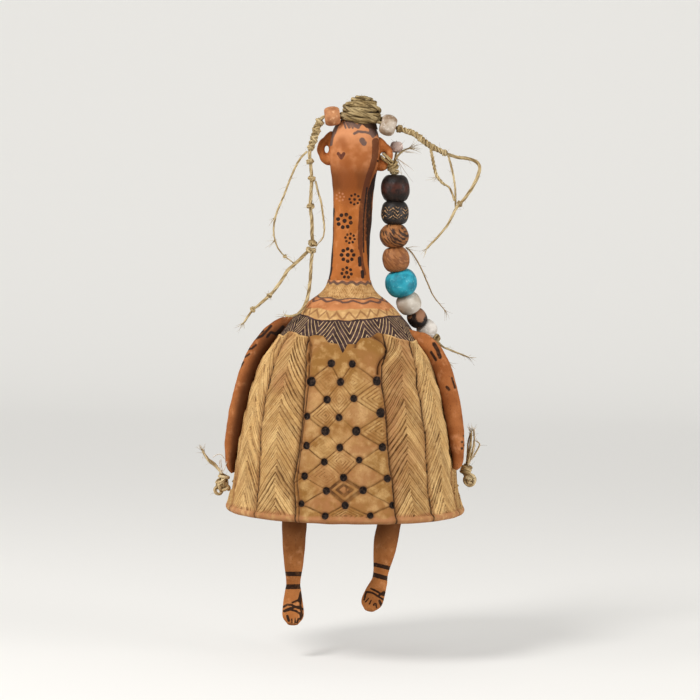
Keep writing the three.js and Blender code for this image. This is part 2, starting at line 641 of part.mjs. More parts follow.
// The topknot: twine wound up the knob, its ends running straight for one diameter
class KnobWinding extends THREE.Curve {
  constructor() {
    super();
    const lift = COIL_TWINE / 2 + SEAT_GAP;
    const slope = Math.atan2(KNOB_BASE_RADIUS - KNOB_TOP_RADIUS, KNOB_HEIGHT);
    this.base = new THREE.Vector2(KNOB_BASE_RADIUS + lift / Math.cos(slope), 0);
    this.rise = new THREE.Vector2(-Math.sin(slope), Math.cos(slope));
    const run = (KNOB_HEIGHT - COIL_FIRST_TURN) / Math.cos(slope);
    this.turns = Math.floor(run / (COIL_TWINE + COIL_TURN_GAP));
    this.pitch = COIL_TWINE + COIL_TURN_GAP;
    this.first = COIL_FIRST_TURN / Math.cos(slope);
    this.lead = COIL_TWINE / (2 * Math.PI * this.base.x);
  }

  onTurn(turn) {
    const along = this.first + this.pitch * turn;
    const radius = this.base.x + this.rise.x * along;
    const angle = degToRad(COIL_START) + 2 * Math.PI * turn;
    return new THREE.Vector3(radius * Math.cos(angle), radius * Math.sin(angle), this.rise.y * along);
  }

  getPoint(share) {
    const turn = lerp(-this.lead, this.turns + this.lead, share);
    const held = clamp(turn, 0, this.turns);
    const point = this.onTurn(held);
    if (turn === held) return point;
    const step = TURN_STEP * Math.sign(turn - held);
    const direction = this.onTurn(held).sub(this.onTurn(held - step)).normalize();
    return point.addScaledVector(direction, (COIL_TWINE * Math.abs(turn - held)) / this.lead);
  }

  // The least gap between the twine and itself, measured between points a half turn or more apart
  leastGap() {
    const count = this.turns * COIL_STEPS * 2;
    const points = Array.from({ length: count + 1 }, (_, step) => this.onTurn((this.turns * step) / count));
    let least = Infinity;
    points.forEach((point, from) => {
      points.slice(from + COIL_STEPS).forEach((other) => {
        least = Math.min(least, point.distanceTo(other));
      });
    });
    return least - COIL_TWINE;
  }
}

function buildCoil() {
  const winding = new KnobWinding();
  console.log(`topknot: ${winding.turns} turns, least gap ${winding.leastGap().toFixed(2)} mm`);
  return tube(winding, COIL_TWINE, COIL_SIDES, winding.turns * COIL_STEPS);
}

// An ear: an arc of clay that stands out from the head, with the eye of the ear inside it
function buildEar(side) {
  const span = degToRad(EAR_SPAN);
  const points = Array.from({ length: EAR_STEPS + 1 }, (_, step) => {
    const turn = lerp(-span, span, step / EAR_STEPS);
    return new THREE.Vector3(EAR_ARC * Math.cos(turn), 0, EAR_ARC * Math.sin(turn));
  });
  const arc = tube(new THREE.CatmullRomCurve3(points), EAR_THICKNESS, CORD_SIDES, LIMB_SIDES);
  arc.scale(1, EAR_DEPTH / EAR_THICKNESS, 1);
  const place = new THREE.Matrix4().makeTranslation(HEAD_SHIFT + side * EAR_REACH, 0, EAR_HEIGHT);
  if (side < 0) place.multiply(new THREE.Matrix4().makeRotationZ(Math.PI));
  return toGeometry(toSolid(arc, place).subtract(seatCut));
}

// An arm: laid against the flank from the shoulder to the fingertips, and cut to seat on it
const HAND_TIP = LEG_CORD_HEIGHT + KNOT_HALF_HEIGHT + SEAT_GAP;
const armGirth = new THREE.SplineCurve([
  new THREE.Vector2(0, ARM_ROOT_RADIUS),
  new THREE.Vector2(UPPER_ARM_SHARE, UPPER_ARM_RADIUS),
  new THREE.Vector2(FOREARM_SHARE, FOREARM_RADIUS),
  new THREE.Vector2(WRIST_SHARE, WRIST_RADIUS),
  new THREE.Vector2(HAND_SHARE, HAND_RADIUS),
  new THREE.Vector2(1, HAND_RADIUS / 2),
]);

function armStations({ side, top, forward, sink, rise }) {
  const turn = degToRad(forward);
  const beside = new THREE.Vector3(side * Math.cos(turn), -Math.sin(turn), 0);
  return Array.from({ length: ARM_STEPS + 1 }, (_, step) => {
    const girth = armGirth.getPoint(step / ARM_STEPS);
    const seat = flankAt(lerp(top, HAND_TIP + rise, girth.x));
    const outward = beside.clone().multiplyScalar(seat.normal.x).addScaledVector(UP, seat.normal.y);
    const centre = beside.clone().multiplyScalar(seat.point.x).addScaledVector(UP, seat.point.y)
      .addScaledVector(outward, girth.y - sink);
    return { centre, across: UP.clone().cross(beside), outward, radius: girth.y };
  });
}

function buildArm(arm) {
  const rings = armStations(arm).map(({ centre, across, outward, radius }) => {
    return ovalRing(centre, across, outward, radius, radius, LIMB_SIDES);
  });
  return toGeometry(toSolid(loft(rings)).subtract(seatCut));
}

// The middle of a closed geometry's volume
function centreOfMass(geometry) {
  const position = geometry.getAttribute("position");
  const sum = new THREE.Vector3();
  let volume = 0;
  for (let corner = 0; corner < geometry.index.count; corner += 3) {
    const [a, b, c] = [0, 1, 2].map((offset) => {
      return new THREE.Vector3().fromBufferAttribute(position, geometry.index.getX(corner + offset));
    });
    const share = a.dot(b.clone().cross(c)) / 6;
    volume += share;
    sum.addScaledVector(a.add(b).add(c), share / 4);
  }
  return sum.divideScalar(volume);
}

// A leg about its cord hole: a bored crown, the calf, the ankle and a pointed foot, hung to balance
function buildLeg({ side, lean, ankleDrop, footLength, footPitch, footTurn }) {
  const pitch = degToRad(footPitch);
  const ahead = FRONT.clone().multiplyScalar(Math.cos(pitch)).addScaledVector(UP, -Math.sin(pitch))
    .applyAxisAngle(UP, degToRad(footTurn));
  const ankle = new THREE.Vector3(0, 0, -ankleDrop);
  const footPoint = (length) => ankle.clone().addScaledVector(ahead, length);
  const slim = Math.max(CALF_DROP + ANKLE_TAPER, ankleDrop - ANKLE_RADIUS);
  const stations = [
    { centre: new THREE.Vector3(0, 0, LEG_CROWN), across: LEG_CROWN_RADIUS / 2, deep: LEG_CROWN_RADIUS / 2 },
    { centre: new THREE.Vector3(0, 0, LEG_CROWN / 2), across: LEG_CROWN_RADIUS, deep: LEG_CROWN_RADIUS },
    { centre: new THREE.Vector3(0, 0, -THIGH_DROP), across: THIGH_RADIUS, deep: THIGH_RADIUS },
    { centre: new THREE.Vector3(0, 0, -CALF_DROP), across: CALF_RADIUS, deep: CALF_RADIUS },
    { centre: new THREE.Vector3(0, 0, -slim), across: ANKLE_RADIUS, deep: ANKLE_RADIUS },
    { centre: ankle.clone().addScaledVector(UP, -HEEL_RADIUS / 3), across: HEEL_RADIUS, deep: HEEL_RADIUS },
    { centre: footPoint(footLength * INSTEP_SHARE), across: FOOT_HALF_WIDTH, deep: FOOT_HALF_HEIGHT },
    { centre: footPoint(footLength * BALL_SHARE), across: FOOT_HALF_WIDTH, deep: BALL_HALF_HEIGHT },
    { centre: footPoint(footLength), across: FOOT_HALF_WIDTH / 2, deep: TOE_HALF_HEIGHT },
  ];
  const path = new THREE.CatmullRomCurve3(stations.map(({ centre }) => centre));
  const girth = new THREE.SplineCurve(stations.map(({ across, deep }) => new THREE.Vector2(across, deep)));
  const count = (stations.length - 1) * LEG_STEPS;
  const rings = Array.from({ length: count + 1 }, (_, step) => {
    const share = step / count;
    const tangent = path.getTangent(share);
    const across = RIGHT.clone().applyAxisAngle(UP, degToRad(footTurn) * share);
    across.addScaledVector(tangent, -across.dot(tangent)).normalize();
    const deep = tangent.clone().cross(across);
    const size = girth.getPoint(share);
    return ovalRing(path.getPoint(share), across, deep, size.x, size.y, LIMB_SIDES);
  });
  const leaning = new THREE.Matrix4().makeRotationY(degToRad(side * lean));
  const bored = toSolid(loft(rings), leaning).subtract(toSolid(crossBar(TWINE + 2 * BORE_GAP)));
  const geometry = toGeometry(bored);
  const middle = centreOfMass(geometry);
  return geometry.rotateX(Math.atan2(middle.y, -middle.z));
}

// A knot under a hand, at the end of the leg cord outside the bell, with its frayed tail
const LEG_CORD_REACH = flankAt(LEG_CORD_HEIGHT).point.x;

function buildHandKnot(side, tailRoute) {
  const place = new THREE.Matrix4()
    .makeTranslation(side * (LEG_CORD_REACH + SEAT_GAP + KNOT_RADIUS), 0, LEG_CORD_HEIGHT);
  const knot = toSolid(lump(KNOT_RADIUS, KNOT_HALF_HEIGHT), place);
  return toGeometry(knot.add(toSolid(cord(tailRoute, TWINE), place)));
}

// The ear tie, about the ear's eye: a loop round the ear, a bound neck under it and a frayed tail
const tieDirection = new THREE.Vector3(Math.cos(degToRad(TIE_ANGLE)), 0, -Math.sin(degToRad(TIE_ANGLE)));
const earEye = new THREE.Vector3(HEAD_SHIFT + EAR_REACH, 0, EAR_HEIGHT);
const TIE_LOOP = EAR_THICKNESS / 2 + BORE_GAP + TWINE / 2;
const tieTop = earEye.clone().addScaledVector(tieDirection, EAR_ARC + TIE_LOOP);
const strandTop = tieTop.clone().add(new THREE.Vector3(TIE_OUT, 0, -TIE_DROP));
const TIE_SHOULDER = 0.25; // share of the bound neck that widens
const tailStart = tieTop.clone().lerp(strandTop, TIE_SHOULDER);

function buildEarTie() {
  const loop = new THREE.TorusGeometry(TIE_LOOP, TWINE / 2, COIL_SIDES, RING_SIDES / 2)
    .scale(1, EAR_DEPTH / EAR_THICKNESS, 1)
    .translate(EAR_ARC, 0, 0)
    .rotateY(degToRad(TIE_ANGLE));
  const slanting = strandTop.clone().sub(tieTop).normalize();
  const across = FRONT.clone().negate();
  const neck = [
    { share: 0, radius: TWINE / 2, heading: slanting },
    { share: TIE_SHOULDER, radius: TIE_RADIUS, heading: slanting },
    { share: 1 - TIE_SHOULDER, radius: TIE_RADIUS, heading: slanting },
    { share: 1, radius: TWINE / 2, heading: UP.clone().negate() },
  ];
  const rings = neck.map(({ share, radius, heading }) => {
    const centre = tieTop.clone().lerp(strandTop, share).sub(earEye);
    return ovalRing(centre, across, heading.clone().cross(across), radius, radius, LIMB_SIDES);
  });
  const fromEye = new THREE.Matrix4().makeTranslation(tailStart.clone().sub(earEye));
  const tails = [TIE_TAIL_ROUTE, TIE_BEAD_ROUTE].map((route) => toSolid(cord(route, FIBRE), fromEye));
  const bound = toSolid(loop).add(toSolid(loft(rings)));
  return toGeometry(tails.reduce((solid, tail) => solid.add(tail), bound));
}

// How far a point lies outside the bell and the arm on the strand's side
const rightArm = armStations(ARMS.find(({ side }) => side > 0));

function clearanceAt(place) {
  const flat = new THREE.Vector2(Math.hypot(place.x, place.y), place.z);
  const toFlank = flankPoints.slice(1).map(({ point, normal }, step) => {
    const from = flankPoints[step].point;
    const span = point.clone().sub(from);
    const share = clamp(flat.clone().sub(from).dot(span) / span.lengthSq(), 0, 1);
    const offset = flat.clone().sub(from.clone().addScaledVector(span, share));
    return { distance: offset.length(), sign: Math.sign(offset.dot(normal)) };
  });
  const nearest = toFlank.reduce((best, next) => (next.distance < best.distance ? next : best));
  const toArm = rightArm.map(({ centre, radius }) => centre.distanceTo(place) - radius);
  return Math.min(nearest.distance * nearest.sign, ...toArm);
}

// The beads' places when the strand bends by the same angle at each bead after the straight ones
function bendStrand(straight, bend) {
  const outward = RIGHT.clone().applyAxisAngle(UP, degToRad(STRAND_BACKWARD));
  const opening = (BEAD_FLAT / 2) * Math.sin(degToRad(bend));
  let end = strandTop.clone().addScaledVector(UP, -BEAD_GAP);
  return STRAND_BEADS.map(({ diameter, length }, step) => {
    const angle = degToRad(bend * Math.max(0, step + 1 - straight));
    const direction = outward.clone().multiplyScalar(Math.sin(angle)).addScaledVector(UP, -Math.cos(angle));
    const centre = end.clone().addScaledVector(direction, BEAD_GAP + opening + length / 2);
    end = centre.clone().addScaledVector(direction, length / 2);
    return { centre, direction, length, clear: clearanceAt(centre) - diameter / 2 };
  });
}

function drapeStrand() {
  let places = [];
  for (let straight = STRAND_STRAIGHT; straight >= 0; straight -= 1) {
    for (let bend = 0; bend <= STRAND_MOST_BEND; bend += 1) {
      places = bendStrand(straight, bend);
      if (places.every(({ clear }) => clear >= STRAND_REST_GAP)) return places;
    }
  }
  return places;
}

// Assembly

const doll = new THREE.Group();
const figure = new THREE.Group();
figure.position.z = -HANG_HEIGHT;
doll.add(figure);

addMesh(figure, "bell_body", buildBody(), BODY_CLAY);
[
  { name: "left", side: -1, tailRoute: LEFT_HAND_TAIL_ROUTE },
  { name: "right", side: 1, tailRoute: RIGHT_HAND_TAIL_ROUTE },
].forEach(({ name, side, tailRoute }) => {
  addMesh(figure, `${name}_ear`, buildEar(side), EAR_CLAY);
  addMesh(figure, `${name}_hand_knot`, buildHandKnot(side, tailRoute), PALE_TWINE);
});
ARMS.forEach((arm) => addMesh(figure, arm.name, buildArm(arm), ARM_CLAY));

figure.add(crown);
addMesh(crown, "topknot_coil", buildCoil(), PALE_TWINE);

const legCordEnds = [-1, 1].map((side) => new THREE.Vector3(side * LEG_CORD_REACH, 0, LEG_CORD_HEIGHT));
const legCord = tube(new THREE.LineCurve3(...legCordEnds), TWINE, CORD_SIDES, 1);
addMesh(figure, "leg_cord", legCord, DARK_TWINE);
LEGS.forEach((leg) => {
  const mesh = addMesh(figure, leg.name, buildLeg(leg), LEG_CLAY);
  mesh.position.set(leg.side * LEG_SPREAD, 0, LEG_CORD_HEIGHT);
});

const hair = new THREE.Group();
hair.position.z = CROWN_HEIGHT;
figure.add(hair);

const hairCords = [
  { name: "left_hair_cord", route: LEFT_HAIR_ROUTE, diameter: TWINE },
  { name: "left_hair_tail", route: LEFT_TAIL_ROUTE, diameter: TWINE },
  { name: "left_hair_drop", route: LEFT_DROP_ROUTE, diameter: TWINE },
  { name: "left_hair_side", route: LEFT_SIDE_ROUTE, diameter: FIBRE },
  { name: "left_hair_loop", route: LEFT_LOOP_ROUTE, diameter: FIBRE },
  { name: "right_hair_cord", route: RIGHT_HAIR_ROUTE, diameter: TWINE },
  { name: "right_hair_middle", route: RIGHT_MIDDLE_ROUTE, diameter: FIBRE },
  { name: "right_hair_inner", route: RIGHT_INNER_ROUTE, diameter: FIBRE },
];
hairCords.forEach(({ name, route, diameter }) => {
  addMesh(hair, name, cord(route, diameter), PALE_TWINE);
});

// A bead is threaded on its cord at a point of the route, along the cord there
function threadBead(mesh, route, at) {
  const curve = new THREE.CatmullRomCurve3(toVectors(route));
  const share = at / (route.length - 1);
  mesh.position.copy(curve.getPoint(share));
  mesh.quaternion.setFromUnitVectors(UP, curve.getTangent(share));
}

[
  { name: "left_temple_bead", route: LEFT_HAIR_ROUTE, at: LEFT_BEAD_POINT, finish: TAN_STONE },
  { name: "right_temple_bead", route: RIGHT_HAIR_ROUTE, at: RIGHT_BEAD_POINT, finish: GREY_STONE },
].forEach(({ name, route, at, finish }) => {
  const templeBead = bead(TEMPLE_BEAD_DIAMETER, TEMPLE_BEAD_LENGTH);
  threadBead(addMesh(hair, name, templeBead, finish), route, at);
});

addMesh(figure, "ear_tie", buildEarTie(), PALE_TWINE).position.copy(earEye);
const earBead = addMesh(figure, "ear_bead", bead(EAR_BEAD_DIAMETER, EAR_BEAD_LENGTH), PINK_STONE);
threadBead(earBead, TIE_BEAD_ROUTE, EAR_BEAD_POINT);
earBead.position.add(tailStart);

const places = drapeStrand();
STRAND_BEADS.forEach(({ name, diameter, length, finish }, step) => {
  const mesh = addMesh(figure, name, bead(diameter, length), finish);
  mesh.position.copy(places[step].centre);
  mesh.quaternion.setFromUnitVectors(UP, places[step].direction.clone().negate());
});

// The strand's cord runs straight through each bead and bends between them
const strandRoute = [strandTop.clone().addScaledVector(UP, -SWING_GAP)];
places.forEach(({ centre, direction, length }) => {
  strandRoute.push(centre.clone().addScaledVector(direction, -length / 2));
  strandRoute.push(centre.clone().addScaledVector(direction, length / 2));
});
const lastPlace = places.at(-1);
const strandEnd = strandRoute.at(-1).clone().addScaledVector(lastPlace.direction, BEAD_GAP + SEAT_GAP);
strandRoute.push(strandEnd);
const strandCurve = new THREE.CurvePath();
strandRoute.slice(1).forEach((point, step) => {
  strandCurve.add(new THREE.LineCurve3(strandRoute[step], point));
});
const strandSteps = (strandRoute.length - 1) * 2;
addMesh(figure, "strand_cord", tube(strandCurve, TWINE, CORD_SIDES, strandSteps), DARK_TWINE);
addMesh(figure, "strand_fibre", cord(FIBRE_ROUTE, FIBRE), PALE_TWINE).position.copy(strandTop);

function buildEndKnot() {
  const knot = toSolid(lump(END_KNOT_RADIUS, END_KNOT_RADIUS));
  const tails = END_TAIL_ROUTES.map((route) => toSolid(cord(route, FIBRE)));
  return toGeometry(tails.reduce((solid, tail) => solid.add(tail), knot));
}

const endKnot = addMesh(figure, "strand_end_knot", buildEndKnot(), PALE_TWINE);
endKnot.position.copy(strandEnd).addScaledVector(lastPlace.direction, SEAT_GAP + END_KNOT_RADIUS);

export default doll;
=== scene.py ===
import json
import math

import bpy
import numpy as np
from mathutils import Matrix, Vector


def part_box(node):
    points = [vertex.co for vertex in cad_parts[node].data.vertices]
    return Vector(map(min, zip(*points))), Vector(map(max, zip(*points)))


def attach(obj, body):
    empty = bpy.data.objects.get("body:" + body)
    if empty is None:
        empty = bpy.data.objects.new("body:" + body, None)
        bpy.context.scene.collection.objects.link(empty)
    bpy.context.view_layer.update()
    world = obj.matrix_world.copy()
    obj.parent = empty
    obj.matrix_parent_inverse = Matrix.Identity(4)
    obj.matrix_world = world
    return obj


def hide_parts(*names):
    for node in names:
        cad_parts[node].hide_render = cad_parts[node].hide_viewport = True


# A terracotta bell doll: shapes are worked out in millimetres, with heights from the bell's rim, and are put
# into the frame when their mesh is made. Turns round the bell are degrees from the front, to the right.

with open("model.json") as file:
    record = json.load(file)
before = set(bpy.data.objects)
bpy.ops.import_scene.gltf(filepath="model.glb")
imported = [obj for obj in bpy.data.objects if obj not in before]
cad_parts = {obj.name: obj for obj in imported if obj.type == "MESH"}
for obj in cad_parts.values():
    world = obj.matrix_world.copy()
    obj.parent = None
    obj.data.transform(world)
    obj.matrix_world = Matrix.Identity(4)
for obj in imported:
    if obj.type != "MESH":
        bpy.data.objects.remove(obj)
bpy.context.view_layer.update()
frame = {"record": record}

MM = 0.001
RIM_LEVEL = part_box("bell_body")[0].z


def to_frame(points):
    return np.asarray(points, float) * MM + (0, 0, RIM_LEVEL)


# Camera, as the photograph was taken

CAMERA_TARGET = (1.1, 0.0, 91.2)
CAMERA_DISTANCE = 1640.0
CAMERA_ELEVATION = math.radians(3.4)
CAMERA_ROLL = math.atan(0.0192)
CAMERA_LENS = 149.5
CAMERA_SENSOR = 36.0
PHOTO_SIZE = 700

look_back = Vector((0, -math.cos(CAMERA_ELEVATION), math.sin(CAMERA_ELEVATION)))
level_up = Vector((0, math.sin(CAMERA_ELEVATION), math.cos(CAMERA_ELEVATION)))
level_right = Vector((1, 0, 0))
view_up = level_up * math.cos(CAMERA_ROLL) - level_right * math.sin(CAMERA_ROLL)
view_right = level_right * math.cos(CAMERA_ROLL) + level_up * math.sin(CAMERA_ROLL)
view_eye = Vector(to_frame(CAMERA_TARGET)) + look_back * CAMERA_DISTANCE * MM

camera_data = bpy.data.cameras.new("photo_camera")
camera_data.lens = CAMERA_LENS
camera_data.sensor_width = CAMERA_SENSOR
camera = bpy.data.objects.new("photo_camera", camera_data)
camera_turn = Matrix((view_right, view_up, look_back)).transposed().to_4x4()
camera.matrix_world = Matrix.Translation(view_eye) @ camera_turn
bpy.context.scene.collection.objects.link(camera)
bpy.context.scene.camera = camera


def to_photo(points):
    """Where points, in millimetres, show in the photograph, in pixels."""
    away = to_frame(points) - np.array(view_eye)
    scale = CAMERA_LENS / CAMERA_SENSOR * PHOTO_SIZE / -(away @ np.array(look_back))
    return np.stack([
        PHOTO_SIZE / 2 + scale * (away @ np.array(view_right)),
        PHOTO_SIZE / 2 - scale * (away @ np.array(view_up)),
    ], axis=-1)


PIXEL = 0.563  # millimetres

# Number helpers

HASH_STEPS = np.array([73856093, 19349663, 83492791])
HASH_SEED = 2654435761
HASH_MIX = 1274126177
HASH_RANGE = 0xFFFF
SPLINE_STEPS = 24


def scramble(keys):
    keys = (keys ^ (keys >> 13)) * HASH_MIX
    return ((keys ^ (keys >> 16)) & HASH_RANGE) / HASH_RANGE


def chance(count, seed):
    """Numbers from 0 to 1 that are the same in each run."""
    return scramble(np.arange(count, dtype=np.int64) * HASH_STEPS[0] + seed * HASH_SEED)


def rough(points, size, seed):
    """Smooth noise from -1 to 1 over points, with features of a size in millimetres."""
    scaled = np.asarray(points, float) / size
    cell = np.floor(scaled).astype(np.int64)
    share = scaled - cell
    share = share * share * (3 - 2 * share)
    total = np.zeros(scaled.shape[:-1])
    for corner in range(8):
        offset = np.array([corner & 1, corner >> 1 & 1, corner >> 2 & 1])
        weight = np.prod(np.where(offset == 1, share, 1 - share), axis=-1)
        total += weight * scramble((cell + offset) @ HASH_STEPS + seed * HASH_SEED)
    return 2 * total - 1


def ease(value, low, high):
    share = np.clip((np.asarray(value, float) - low) / (high - low), 0, 1)
    return share * share * (3 - 2 * share)


def table(at, rows):
    """A value read off a table of (at, value) rows."""
    rows = np.asarray(rows, float)
    return np.interp(at, rows[:, 0], rows[:, 1])


def run_length(points):
    return np.concatenate([[0], np.cumsum(np.linalg.norm(np.diff(points, axis=0), axis=1))])


def read_off(at, along, rows):
    """Rows of numbers that are known along a line, read off at other places on it."""
    return np.stack([np.interp(at, along, column) for column in rows.T], axis=1)


def evenly(points, count):
    along = run_length(points)
    return read_off(np.linspace(0, along[-1], count), along, points)


def spline(points, count):
    """Points evenly spaced along a smooth line through the given points."""
    points = np.asarray(points, float)
    padded = np.concatenate([[2 * points[0] - points[1]], points, [2 * points[-1] - points[-2]]])
    fine = []
    for before, start, end, after in zip(padded, padded[1:], padded[2:], padded[3:]):
        leave = (end - before) / 2
        arrive = (after - start) / 2
        for share in np.linspace(0, 1, SPLINE_STEPS, endpoint=False):
            fine.append(
                (2 * start - 2 * end + leave + arrive) * share ** 3
                + (3 * end - 3 * start - 2 * leave - arrive) * share ** 2 + leave * share + start
            )
    fine.append(points[-1])
    return evenly(np.array(fine), count)


def unit(vectors):
    vectors = np.asarray(vectors, float)
    return vectors / np.linalg.norm(vectors, axis=-1, keepdims=True)


def square_to(vectors, tangent):
    """Unit vectors that are left when what runs along the tangent is taken off."""
    return unit(vectors - (vectors * tangent).sum(axis=-1, keepdims=True) * tangent)


def tangents(path):
    return unit(np.gradient(path, axis=0))


def full_turn(count):
    return np.linspace(0, 2 * math.pi, count, endpoint=False)


def tipped(angle):
    """The matrix of a turn about the Y axis."""
    cos = math.cos(angle)
    sin = math.sin(angle)
    return np.array([[cos, 0, sin], [0, 1, 0], [-sin, 0, cos]])


def stacked(*parts):
    return np.stack(np.broadcast_arrays(*parts), axis=-1)


def notch(gap, width):
    """1 in the middle of a line, falling to 0 with the distance from it."""
    return np.exp(-(gap / width) ** 2)


# Mesh helpers


def grid_faces(rows, columns, wrap=False):
    across = columns if wrap else columns - 1
    row, column = np.meshgrid(np.arange(rows - 1), np.arange(across), indexing="ij")
    after = (column + 1) % columns
    start = row * columns
    corners = [start + column, start + after, start + columns + after, start + columns + column]
    return np.stack(corners, axis=-1).reshape(-1, 4)


def tube(path, side, deep, turns, wide, high):
    """Rings of points round a path, so wide to its side and so high to its deep direction."""
    across = (np.cos(turns) * wide)[..., None] * side[:, None, :]
    return path[:, None, :] + across + (np.sin(turns) * high)[..., None] * deep[:, None, :]


class Skin:
    """Points, faces and named values that grow into one mesh."""

    def __init__(self):
        self.points = []
        self.faces = []
        self.values = {}
        self.count = 0

    def add(self, points, faces, **values):
        for name, value in values.items():
            spread = np.broadcast_to(value, points.shape[:-1])
            self.values.setdefault(name, []).append(spread.reshape(-1))
        self.faces += (faces + self.count).tolist()
        self.points.append(points.reshape(-1, 3))
        self.count += len(self.points[-1])

    def add_grid(self, points, wrap=False, **values):
        rows, columns = points.shape[:2]
        self.add(points, grid_faces(rows, columns, wrap), **values)

    def mesh(self, name):
        mesh = bpy.data.meshes.new(name)
        mesh.from_pydata(to_frame(np.concatenate(self.points)).tolist(), [], self.faces)
        for key, parts in self.values.items():
            layer = mesh.attributes.new(key, "FLOAT", "POINT")
            layer.data.foreach_set("value", np.concatenate(parts).astype(np.float32))
        mesh.polygons.foreach_set("use_smooth", [True] * len(mesh.polygons))
        mesh.update()
        return mesh


def add_piece(name, skin, material, body, slot, replaces=()):
    piece = bpy.data.objects.new(name, skin.mesh(name))
    bpy.context.scene.collection.objects.link(piece)
    piece.data.materials.append(material)
    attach(piece, body)
    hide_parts(*replaces)
    return piece


# Material helpers


def linear(part):
    """The linear share of one part, from 0 to 255, of a screen colour."""
    share = part / 255
    return ((share + 0.055) / 1.055) ** 2.4 if part > 10 else share / 12.92


def colour(red, green, blue):
    return (linear(red), linear(green), linear(blue), 1.0)


def shaded(tint, share):
    return tuple(part * share for part in tint)


class Finish:
    """A node material: coats over a base colour, and bumps. Tints are screen colours, from 0 to 255."""

    def __init__(self, name, base, roughness, specular=0.12):
        self.material = bpy.data.materials.new(name)
        self.material.use_nodes = True
        self.nodes = self.material.node_tree.nodes
        self.links = self.material.node_tree.links
        self.shader = self.nodes["Principled BSDF"]
        self.shader.inputs["Roughness"].default_value = roughness
        self.shader.inputs["Specular IOR Level"].default_value = specular
        self.place = self.nodes.new("ShaderNodeTexCoord").outputs["Object"]
        self.base = base

    def put(self, socket, value):
        if isinstance(value, bpy.types.NodeSocket):
            self.links.new(value, socket)
        else:
            socket.default_value = colour(*value) if isinstance(value, tuple) else value

    def attribute(self, name):
        node = self.nodes.new("ShaderNodeAttribute")
        node.attribute_name = name
        return node.outputs["Fac"]

    def noise(self, size, detail=3.0, stretch=None, turned=(0.0, 0.0, 0.0)):
        node = self.nodes.new("ShaderNodeTexNoise")
        node.inputs["Scale"].default_value = 1 / (size * MM)
        node.inputs["Detail"].default_value = detail
        place = self.place
        if stretch:
            mapping = self.nodes.new("ShaderNodeMapping")
            mapping.vector_type = "TEXTURE"
            mapping.inputs["Rotation"].default_value = turned
            mapping.inputs["Scale"].default_value = [1 / part for part in stretch]
            self.links.new(place, mapping.inputs["Vector"])
            place = mapping.outputs["Vector"]
        self.links.new(place, node.inputs["Vector"])
        return node.outputs["Fac"]

    def math(self, operation, first, second=0.0):
        node = self.nodes.new("ShaderNodeMath")
        node.operation = operation
        self.put(node.inputs[0], first)
        self.put(node.inputs[1], second)
        return node.outputs[0]

    def span(self, value, low, high, start=0.0, end=1.0):
        node = self.nodes.new("ShaderNodeMapRange")
        node.interpolation_type = "SMOOTHSTEP"
        for index, part in enumerate((value, low, high, start, end)):
            self.put(node.inputs[index], part)
        return node.outputs[0]

    def times(self, first, second):
        return self.math("MULTIPLY", first, second)

    def patches(self, size, detail, low, high, start=0.0, end=1.0):
        """Noise, from start where it is low to end where it is high."""
        return self.span(self.noise(size, detail), low, high, start, end)

    def mix(self, share, first, second):
        node = self.nodes.new("ShaderNodeMix")
        node.data_type = "RGBA"
        self.put(node.inputs["Factor"], share)
        self.put(node.inputs[6], first)
        self.put(node.inputs[7], second)
        return node.outputs[2]

    def worn(self, value, edge, size, reach):
        """A share from 0 to 1 where a coverage in millimetres is over 0, with an uneven edge."""
        shift = self.times(self.math("SUBTRACT", self.noise(size), 0.5), reach)
        return self.span(self.math("ADD", value, shift), -edge, edge)

    def coat(self, share, tint):
        self.base = self.mix(share, self.base, tint)

    def draw(self, *layers):
        """Coats of (attribute, tint, strength, edge in millimetres), a little rubbed."""
        for name, tint, strength, edge in layers:
            cover = self.times(self.worn(self.attribute(name), edge, 1.3, 0.5), strength)
            self.coat(self.times(cover, self.patches(2.2, 4, 0.2, 0.5, 0.72, 1.0)), tint)

    def done(self, *bumps):
        """The material, with bumps of (height, depth in millimetres), one on the other."""
        self.links.new(self.base, self.shader.inputs["Base Color"])
        target = self.shader.inputs["Normal"]
        for height, depth in reversed(bumps):
            node = self.nodes.new("ShaderNodeBump")
            node.inputs["Strength"].default_value = 1.0
            node.inputs["Distance"].default_value = depth * MM
            self.links.new(height, node.inputs["Height"])
            self.links.new(node.outputs["Normal"], target)
            target = node.inputs["Normal"]
        return self.material


def clay(name, deep, plain, pale, roughness=0.82):
    """Bare fired clay: mottled, speckled and finely grained."""
    finish = Finish(name, deep, roughness)
    finish.coat(finish.patches(11, 4, 0.3, 0.72), plain)
    finish.coat(finish.patches(4.5, 5, 0.5, 0.8), pale)
    finish.coat(finish.patches(0.55, 2, 0.66, 0.78, 0.0, 0.45), shaded(deep, 0.55))
    return finish


# Bell outline

RIM_RADIUS = 67.5
RIM_ROUND = 2.2
HIP_RADIUS = 60.4
WALL = 6.0
COLLAR = 127.0
CHIN = 184.0
WIDEST = 201.0
HEAD_HALF_WIDTH = 14.3
HEAD_HALF_DEPTH = 12.8
HEAD_SHIFT = 1.5
SKULL_HEIGHT = 21.5
SKULL_FULLNESS = 2.6
FLANK_ROWS = 900
DOME_ROWS = 120
OUTLINE = [
    (RIM_RADIUS, RIM_ROUND), (63.8, 18), (HIP_RADIUS, 44), (49.8, 84.5), (27, 114), (13.4, COLLAR),
    (10.8, 147), (10.8, 168), (11.8, CHIN), (HEAD_HALF_WIDTH, WIDEST),
]
# What the bell's pieces ride on, a finish slot's name that is not used, and what they replace
BELL = ("doll", "slipped_terracotta", ["bell_body"])


